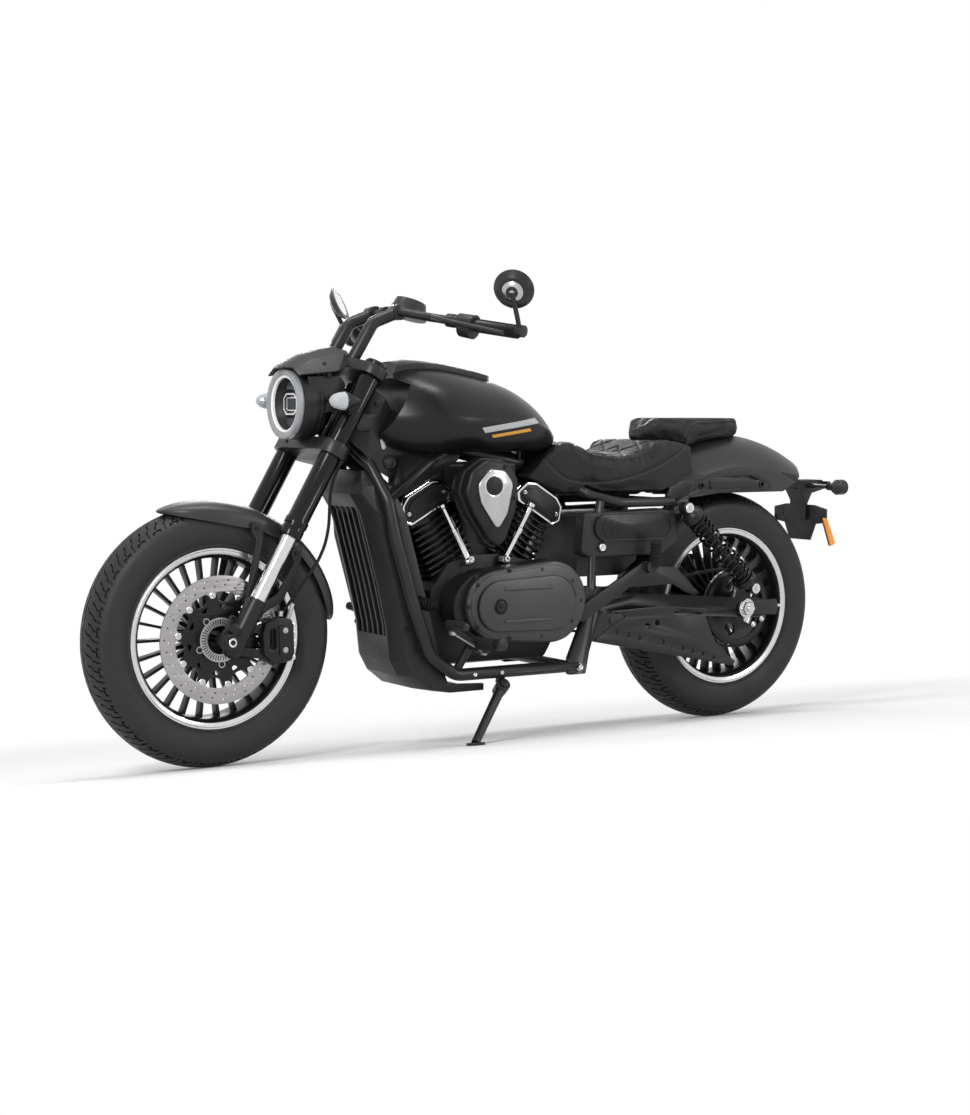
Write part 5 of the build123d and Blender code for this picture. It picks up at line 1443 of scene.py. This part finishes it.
def makePushrods():
    rods = engine["pushrods"]
    tubes, feet = [], []
    for name, side in rods["side"].items():
        place = cylinderPlace(name)
        low = place @ Vector((side * rods["apart"], rods["y"], rods["foot"]))
        high = place @ Vector((side * rods["apart"], rods["y"], rods["top"]))
        at = facing(*low, high - low)
        long = (high - low).length
        tubes.append(turned([(0, -12), (12, -12), (14, -9), (14, 2), (11, 5), (10, 8), (10, long * 0.46),
                             (11.6, long * 0.48), (11.6, long * 0.56), (8.6, long * 0.58), (8.6, long - 12),
                             (12, long - 8), (12, long), (0, long)], at, 32))
        feet.append(turned([(9, 4), (15.5, 4), (17.5, 1), (17.5, -5), (15.5, -8), (9, -8), (9, 4)], at, 32))
        nut = facing(*(low + Vector((0, 14, 2))), (0, 1, 0))
        feet.append(turned([(4, 5), (8, 5), (9, 3), (9, -10), (4, -10), (4, 5)], nut, 28))
    settle(joined(tubes), "pushrod_tubes_chrome", "chrome", "chassis", ["pushrod_tubes"])
    settle(joined(feet), "pushrod_tube_seats", "machined", "chassis")


airCleaner = {
    "outline": [(800, 700, 24), (835, 748, 24), (900, 754, 26), (950, 722, 26), (968, 668, 30),
                (940, 610, 30), (890, 540, 20), (862, 522, 16), (838, 545, 20), (806, 620, 30)],
    "badge": [(822, 690, 26), (850, 726, 26), (896, 730, 26), (936, 690, 30), (926, 640, 40),
              (872, 566, 16), (840, 610, 40)],
    "middle": (878, 655),
    "boss": (885, 684),
    "bolts": [(815, 652), (928, 656), (893, 574), (846, 732)],
    # the intake behind it, between the cylinders
    "intake": [(800, 470), (872, 470), (884, 604), (936, 694), (936, 738), (712, 738), (712, 694),
               (770, 604)],
    "throats": (835, 640),
}


def shrunk(outline, step, middle):
    # every corner drawn towards the middle by the same distance
    line = []
    for x, z, r in outline:
        dx, dz = middle[0] - x, middle[1] - z
        far = math.hypot(dx, dz)
        line.append((x + dx / far * step, z + dz / far * step, max(r - step * 0.4, 3)))
    return line


def makeAirCleaner():
    outline, middle = airCleaner["outline"], airCleaner["middle"]
    body = plate(rounded(outline), 40, onSide(0, 160, 0), edge=6)
    lid = plate(rounded(shrunk(outline, 5, middle)), 34, onSide(0, 196, 0), edge=9)
    lip = plate(rounded(shrunk(outline, -0.5, middle)), 5, onSide(0, 181, 0), edge=1.6)
    settle(joined([body, lid, lip]), "air_cleaner_cover", "engineBlack", "chassis", ["air_cleaner"],
           smooth=50)
    badge = plate(rounded(shrunk(airCleaner["badge"], 4, middle)), 12, onSide(0, 215, 0), edge=4)
    settle(badge, "air_cleaner_badge", "badgeAlloy", "chassis", smooth=50)
    x, z = airCleaner["boss"]
    boss = plate(circle(x, z, 24, 36), 4, onSide(0, 221.5, 0), edge=1.4)
    ring = plate(circle(x, z, 29, 40), 3, onSide(0, 220.8, 0), [circle(x, z, 25.5, 36)], 1)
    settle(boss, "air_cleaner_badge_boss", "engineBlack", "chassis")
    settle(ring, "air_cleaner_badge_ring", "chrome", "chassis")
    bolts = [bolt(acrossBike(x, 212, z), 6, 5) for x, z in airCleaner["bolts"]]
    settle(joined(bolts), "air_cleaner_bolts", "boltBlack", "chassis")


def makeIntake():
    pieces = [plate(rounded(airCleaner["intake"], 12), 124, onSide(0, 0, 0), edge=8)]
    x, z = airCleaner["throats"]
    for side in (1, -1):
        throat = [(0, 0), (26, 0), (28, 4), (28, 12), (24, 16), (24, 70), (0, 70)]
        pieces.append(turned(throat, facing(x + side * 18, 0, z, (side, 0, -0.9)), 32))
    neck = [(0, 0), (40, 0), (40, 96), (44, 100), (44, 112), (0, 112)]
    pieces.append(turned(neck, acrossBike(870, 40, 655), 40))
    settle(joined(pieces), "intake_housing", "engineBlack", "chassis")


def twoLobes(x1, z1, r1, x2, z2, r2, count=28):
    # a band drawn tight round two circles
    away = math.atan2(z2 - z1, x2 - x1)
    tangent = math.acos((r1 - r2) / math.hypot(x2 - x1, z2 - z1))
    first = [away + tangent + 2 * (pi - tangent) * k / count for k in range(count + 1)]
    second = [away - tangent + 2 * tangent * k / count for k in range(count + 1)]
    return [(x1 + r1 * cos(a), z1 + r1 * sin(a)) for a in first] + [(x2 + r2 * cos(a), z2 + r2 * sin(a))
                                                                    for a in second]


primary = {
    "rear": (676, 378, 106),        # forward, up and radius of the plate's two ends
    "front": (850, 376, 90),
    "innerRear": (684, 376, 72),
    "innerFront": (846, 374, 66),
    "ribs": [334, 417],
    "boltsRound": (764, 377),
    "plug": (848, 195.5, 374),
}


def makePrimary():
    x1, z1, r1 = primary["rear"]
    x2, z2, r2 = primary["front"]
    pieces = [plate(twoLobes(x1, z1, r1, x2, z2, r2), 26, onSide(0, 171, 0), edge=9),
              plate(twoLobes(x1, z1, r1 - 10, x2, z2, r2 - 10), 6, onSide(0, 184, 0), edge=2.6),
              plate(twoLobes(*primary["innerRear"], *primary["innerFront"]), 12, onSide(0, 190, 0),
                    edge=4.5)]
    for z in primary["ribs"]:
        pieces.append(plate(racetrack(690, z, 832, z, 4.2, 6), 5, onSide(0, 196.8, 0), edge=1.6))
    settle(joined(pieces), "primary_cover_plate", "coverGraphite", "chassis", smooth=45)
    bolts = []
    x0, z0 = primary["boltsRound"]
    for angle in range(0, 360, 36):
        a = radians(angle)
        x = x0 + 180 * cos(a) * (1 if abs(cos(a)) > 0.5 else 0.9)
        bolts.append(bolt(acrossBike(max(590, min(938, x)), 184, z0 + 91 * sin(a)), 5, 4))
    at = acrossBike(*primary["plug"])
    bolts.append(turned([(0, 8), (4, 8), (4.6, 5), (11, 6), (14, 5), (15, 2), (15, -2), (0, -2)], at, 36))
    bolts.append(turned([(16, -2), (19.5, -2), (20.5, 1.4), (18.5, 3), (16, 1), (16, -2)], at, 40))
    settle(joined(bolts), "primary_cover_bolts", "boltBlack", "chassis")


hose = {
    # from the radiator's foot to the pump
    "path": [(1098, 96, 408), (1068, 118, 396), (1030, 124, 384), (996, 112, 378)],
    "r": 13,
    "rings": 6,
    "firstRing": 1020,
    "ringGap": 8,
}


def makeHose():
    pieces = [rod(hose["path"], hose["r"])]
    for k in range(hose["rings"]):
        run = hose["ringGap"] * k
        at = facing(hose["firstRing"] + run, 122, 381 + 0.3 * run, (1, 0.05, 0.3))
        pieces.append(turned([(12, -2), (17, -1.6), (17, 1.6), (12, 2), (12, -2)], at, 28))
    settle(joined(pieces), "coolant_hose", "softRubber", "chassis")


neck = {
    "shroudBolts": [(1166, 126, 616), (1088, 126, 321)],
    "headBolt": (1145, 81, 888),
    "patch": [(1222, 832, 5), (1196, 864, 6), (1148, 862, 6), (1156, 826, 6), (1190, 820, 6)],
    "plug": (1109, 82, 742),
    "slot": (1130, 796, 1126, 780, 6),
    "gusset": [(1102, 772), (890, 760), (898, 744), (1078, 650), (1104, 676)],
}


def makeNeck():
    bolts = [bothSides(bolt(acrossBike(*spot), 6, 4)) for spot in neck["shroudBolts"]]
    bolts.append(bothSides(bolt(acrossBike(*neck["headBolt"]), 7, 5)))
    settle(joined(bolts), "shroud_bolts", "boltBlack", "chassis")
    patch = bothSides(plate(rounded(neck["patch"]), 5, onSide(0, 82, 0), edge=1.8))
    plug = turned([(0, 3), (9, 3), (11, 1), (14, 1.6), (16, 4), (17.5, 3), (18, -2), (0, -2)],
                  acrossBike(*neck["plug"]), 40)
    settle(joined([patch, bothSides(plug)]), "neck_panel_plug", "panelBlack", "chassis")
    gusset = plate(rounded(neck["gusset"], 8), 4, onSide(0, 66, 0), edge=1.2)
    settle(gusset, "neck_gusset_left", "panelBlack", "chassis")
    slot = bothSides(plate(racetrack(*neck["slot"], 8), 2, onSide(0, 81, 0), edge=0.6))
    settle(slot, "neck_panel_slot", "castAlloy", "chassis")


shocks = {
    "top": (241, 184, 611),
    "foot": (4, 184, 382),
    "turns": 13,
    "wire": 4,
    "coil": 25.5,
    "seats": (42, 46),      # the spring's ends, from the top and from the foot
}


def makeSpring(long):
    turns = shocks["turns"]
    low, high = shocks["seats"][0], long - shocks["seats"][1]
    count = turns * 20
    spots = []
    for k in range(count + 1):
        t = k / count
        a = 2 * pi * turns * t
        run = t - 0.025 * sin(2 * pi * t)       # the end turns close up on their seats
        spots.append((shocks["coil"] * cos(a), shocks["coil"] * sin(a), low + (high - low) * run))
    curve = tubeCurve("spring", shocks["wire"], 3)
    addLine(curve, spots)
    return meshed(curve)


def makeShocks():
    coils, bodies, silvers = [], [], []
    top, foot = Vector(shocks["top"]), Vector(shocks["foot"])
    long = (foot - top).length
    for side in (1, -1):
        place = facing(top.x, side * top.y, top.z, foot - top)
        bodies.append(turned([(0, 6), (12, 6), (22, 14), (29, 20), (30, 26), (30, 40), (26, 44), (24, 50),
                              (15, 56), (15, long * 0.45), (10, long * 0.47), (10, long * 0.62),
                              (15, long * 0.64), (15, long - 46), (28, long - 44), (30, long - 38),
                              (30, long - 30), (20, long - 26), (14, long - 10), (0, long - 8)], place, 36))
        spring = makeSpring(long)
        spring.data.transform(place)
        coils.append(spring)
        for spot in (top, foot):
            eye = facing(spot.x, side * spot.y, spot.z, (0, side, 0))
            bodies.append(turned([(8, 15), (15, 15), (17, 12), (17, -12), (15, -15), (8, -15), (8, 15)],
                                 eye, 36))
            silvers.append(turned([(5.5, 19), (12, 19), (14, 17), (14, 14), (5.5, 14), (5.5, 19)], eye, 32))
            silvers.append(turned([(0, 20), (5, 20), (5.4, 17), (5.4, 12), (0, 12)], eye, 6))
    settle(joined(coils), "shock_springs", "forkBlack", "chassis")
    settle(joined(bodies), "shock_bodies", "boltBlack", "chassis", ["shock_absorbers"])
    settle(joined(silvers), "shock_bolts", "machined", "chassis")


rearDrive = {
    "guard": [(486, 339, 6), (436, 332, 10), (421, 322, 10), (536, 262, 10), (330, 226, 40), (52, 165, 14),
              (40, 178, 10), (150, 240, 20), (262, 322, 14), (250, 336, 8), (150, 318, 12), (140, 330, 8),
              (300, 345, 8)],
    # the guard's cut-outs: round ones as (x, z, r), long ones as (x, z, x, z, r)
    "cutouts": [(468, 312, 9), (455, 282, 8), (418, 272, 8), (380, 262, 7), (340, 258, 300, 246, 8),
                (262, 236, 230, 226, 7), (196, 216, 6), (160, 206, 6), (350, 292, 9), (316, 300, 8),
                (120, 192, 5)],
    "guardBolts": [(0, 292), (-28, 276), (-58, 290)],
    "adjuster": [(26, 306), (-112, 300), (-118, 322), (-112, 344), (26, 342)],
    "axleHalf": 150,
}


def makeRearDrive():
    x0, z0 = rearAxle
    holes = [circle(*hole) if len(hole) == 3 else racetrack(*hole) for hole in rearDrive["cutouts"]]
    guard = plate(rounded(rearDrive["guard"]), 4, onSide(0, 158, 0), holes, 1.2)
    settle(joined([guard, carriedOver("belt_guards", 1.2, 30)]), "belt_guards_pressed", "frameBlack",
           "chassis", ["belt_guards"])
    half = rearDrive["axleHalf"]
    at = acrossBike(x0, 158, z0)
    nut = [turned([(11, 0), (19, 0), (21, 3), (21, 9), (19, 12), (11, 12), (11, 0)], at, 6),
           turned([(0, 18), (9, 18), (10.4, 16), (10.4, 2), (0, 2)], at, 28),
           turned([(12, -2), (25, -2), (27, 0), (25, 1.6), (12, 1.6), (12, -2)], at, 40),
           rod([(-118, 136, z0), (-138, 136, z0)], 4, False),
           rod([(x0, -half, z0), (x0, half, z0)], 9, False)]
    nut += [bolt(acrossBike(x, 152, z), 6, 6) for x, z in rearDrive["guardBolts"]]
    settle(joined(nut), "rear_axle_nut", "machined", "chassis", ["rear_axle"])
    adjuster = plate(rounded(rearDrive["adjuster"], 6), 5, onSide(0, 151, 0), edge=1.4)
    settle(adjuster, "axle_adjuster_plate", "frameBlack", "chassis")


def serrated(start, end, r, count):
    # a rubber-covered peg with rings along it
    start, end = Vector(start), Vector(end)
    long = (end - start).length
    profile = [(0, 0), (r * 0.8, 0)]
    for k in range(count):
        h = long * (k + 0.15) / count
        profile += [(r * 0.86, h), (r, h + long * 0.2 / count), (r, h + long * 0.5 / count),
                    (r * 0.86, h + long * 0.7 / count)]
    profile += [(r * 0.8, long), (0, long)]
    return turned(profile, facing(*start, end - start), 24)


feet = {
    # rubber pegs: root, tip, radius and rings
    "pegs": [((1018, 214, 341), (1018, 298, 343), 10.5, 9), ((924, 170, 283), (924, 286, 290), 16.5, 11),
             ((350, 187, 456), (354, 201, 526), 15, 8)],
    "linkage": [(1004, 214, 318), (905, 206, 262)],
    "railBolts": [((577, 164, 197), 8), ((823, 162, 200), 6), ((905, 162, 200), 6)],
}


def makeFeet():
    rubbers = [bothSides(serrated(*peg)) for peg in feet["pegs"]]
    settle(joined(rubbers), "foot_rubbers", "softRubber", "chassis")
    front, (x, y, z) = feet["linkage"]
    link = [rod(feet["linkage"], 3.4, False),
            turned([(0, -8), (7, -8), (8, -6), (8, 6), (7, 8), (0, 8)], acrossBike(x, y, z), 24),
            turned([(0, -8), (6, -8), (7, -6), (7, 6), (6, 8), (0, 8)], acrossBike(*front), 24)]
    settle(joined(link), "shift_linkage", "castAlloy", "chassis")
    bits = [bolt(acrossBike(*spot), r, r) for spot, r in feet["railBolts"]]
    settle(joined(bits), "frame_rail_bolts", "machined", "chassis")


bars = {
    # the left grip's root and tip, its radius and its rings
    "grip": ((981.9, 292, 1080), (944, 415, 1062), 17, 22),
    "mirror": (969, 432, 1163),
    "mirrorFaces": (0.66, 0.62, -0.42),     # where the left mirror's back points
    "buttons": [(994, 280, 1100), (996, 266, 1102), (998, 252, 1092)],
    "button": (9, 10, 7),
}


def makeBars():
    grips, backs, glasses, buttons = [], [], [], []
    root, tip, r, rings = bars["grip"]
    x, y, z = bars["mirror"]
    for side in (1, -1):
        flank = Vector((1, side, 1))
        grips.append(serrated(Vector(root) * flank, Vector(tip) * flank, r, rings))
        away = Vector(bars["mirrorFaces"]) * flank
        back = [(0, 12), (12, 12), (22, 14), (26, 17), (23, 20), (12, 23.5), (0, 24.5)]
        backs.append(turned(back, facing(x, side * y, z, away), 48))
        glass = [(0, 0.4), (30, 0.2), (45, -0.4), (45, -2), (0, -2)]
        glasses.append(turned(glass, facing(x, side * y, z, -away), 64))
        for buttonX, buttonY, buttonZ in bars["buttons"]:
            spot = Matrix.Translation((buttonX, side * buttonY, buttonZ))
            buttons.append(block(bars["button"], spot))
    settle(joined(grips), "grips_ribbed", "softRubber", "steering", ["grips"])
    settle(joined(backs), "mirror_back_plates", "badgeAlloy", "steering", smooth=50)
    settle(joined(glasses), "mirror_glasses", "mirrorGlass", "steering")
    settle(joined(buttons), "bar_switch_buttons", "boltBlack", "steering")


softEdged = [
    # CAD node, piece, finish, body, edge width and its steps, least edge angle, smooth angle
    ("fork_yokes", "fork_yokes_cast", "frameBlack", "steering", 3.2, 3, 30, 32),
    ("handlebar", "handlebar_black", "frameBlack", "steering", 1, 2, 35, 45),
    ("bar_controls", "bar_controls_moulded", "panelBlack", "steering", 2.2, 3, 30, 45),
    ("instrument", "instrument_pod", "panelBlack", "steering", 2.4, 3, 30, 45),
    ("mirrors", "mirrors_black", "frameBlack", "steering", 1.6, 3, 30, 50),
    ("tank_console", "tank_console_pad", "panelBlack", "chassis", 5, 4, 30, 60),
    ("tail_bracket", "tail_bracket_folded", "panelBlack", "chassis", 1.4, 2, 30, 32),
    ("side_covers", "side_covers_moulded", "panelBlack", "chassis", 2.5, 3, 30, 50),
    ("radiator_shroud", "radiator_shroud_moulded", "panelBlack", "chassis", 2.6, 3, 20, 40),
    ("primary_cover", "primary_cover_skirt", "engineBlack", "chassis", 4, 3, 30, 50),
    ("crankcase", "crankcase_cast", "engineBlack", "chassis", 4, 3, 30, 50),
    ("frame", "frame_painted", "frameBlack", "chassis", 1.4, 2, 35, 45),
    ("exhaust", "exhaust_matt", "exhaustBlack", "chassis", 1.6, 2, 35, 45),
    ("swingarm", "swingarm_welded", "frameBlack", "chassis", 3, 3, 30, 45),
    ("foot_controls", "shift_and_brake_levers", "frameBlack", "chassis", 1, 2, 35, 32),
    ("footrests", "footrest_brackets", "frameBlack", "chassis", 1.4, 2, 30, 32),
    ("rear_pulley", "rear_pulley_cast", "wheelBlack", "rear_wheel", 1.2, 2, 30, 32),
    ("side_stand", "side_stand_forged", "frameBlack", "stand", 1.2, 2, 30, 32),
]

makeCylinders()
makePushrods()
makeAirCleaner()
makeIntake()
makePrimary()
makeHose()
makeNeck()
makeShocks()
makeRearDrive()
makeFeet()
makeBars()
for node, name, finish, body, width, steps, angle, smooth in softEdged:
    settle(carriedOver(node, width, angle, steps), name, finish, body, [node], smooth)
print("engine and chassis ready")
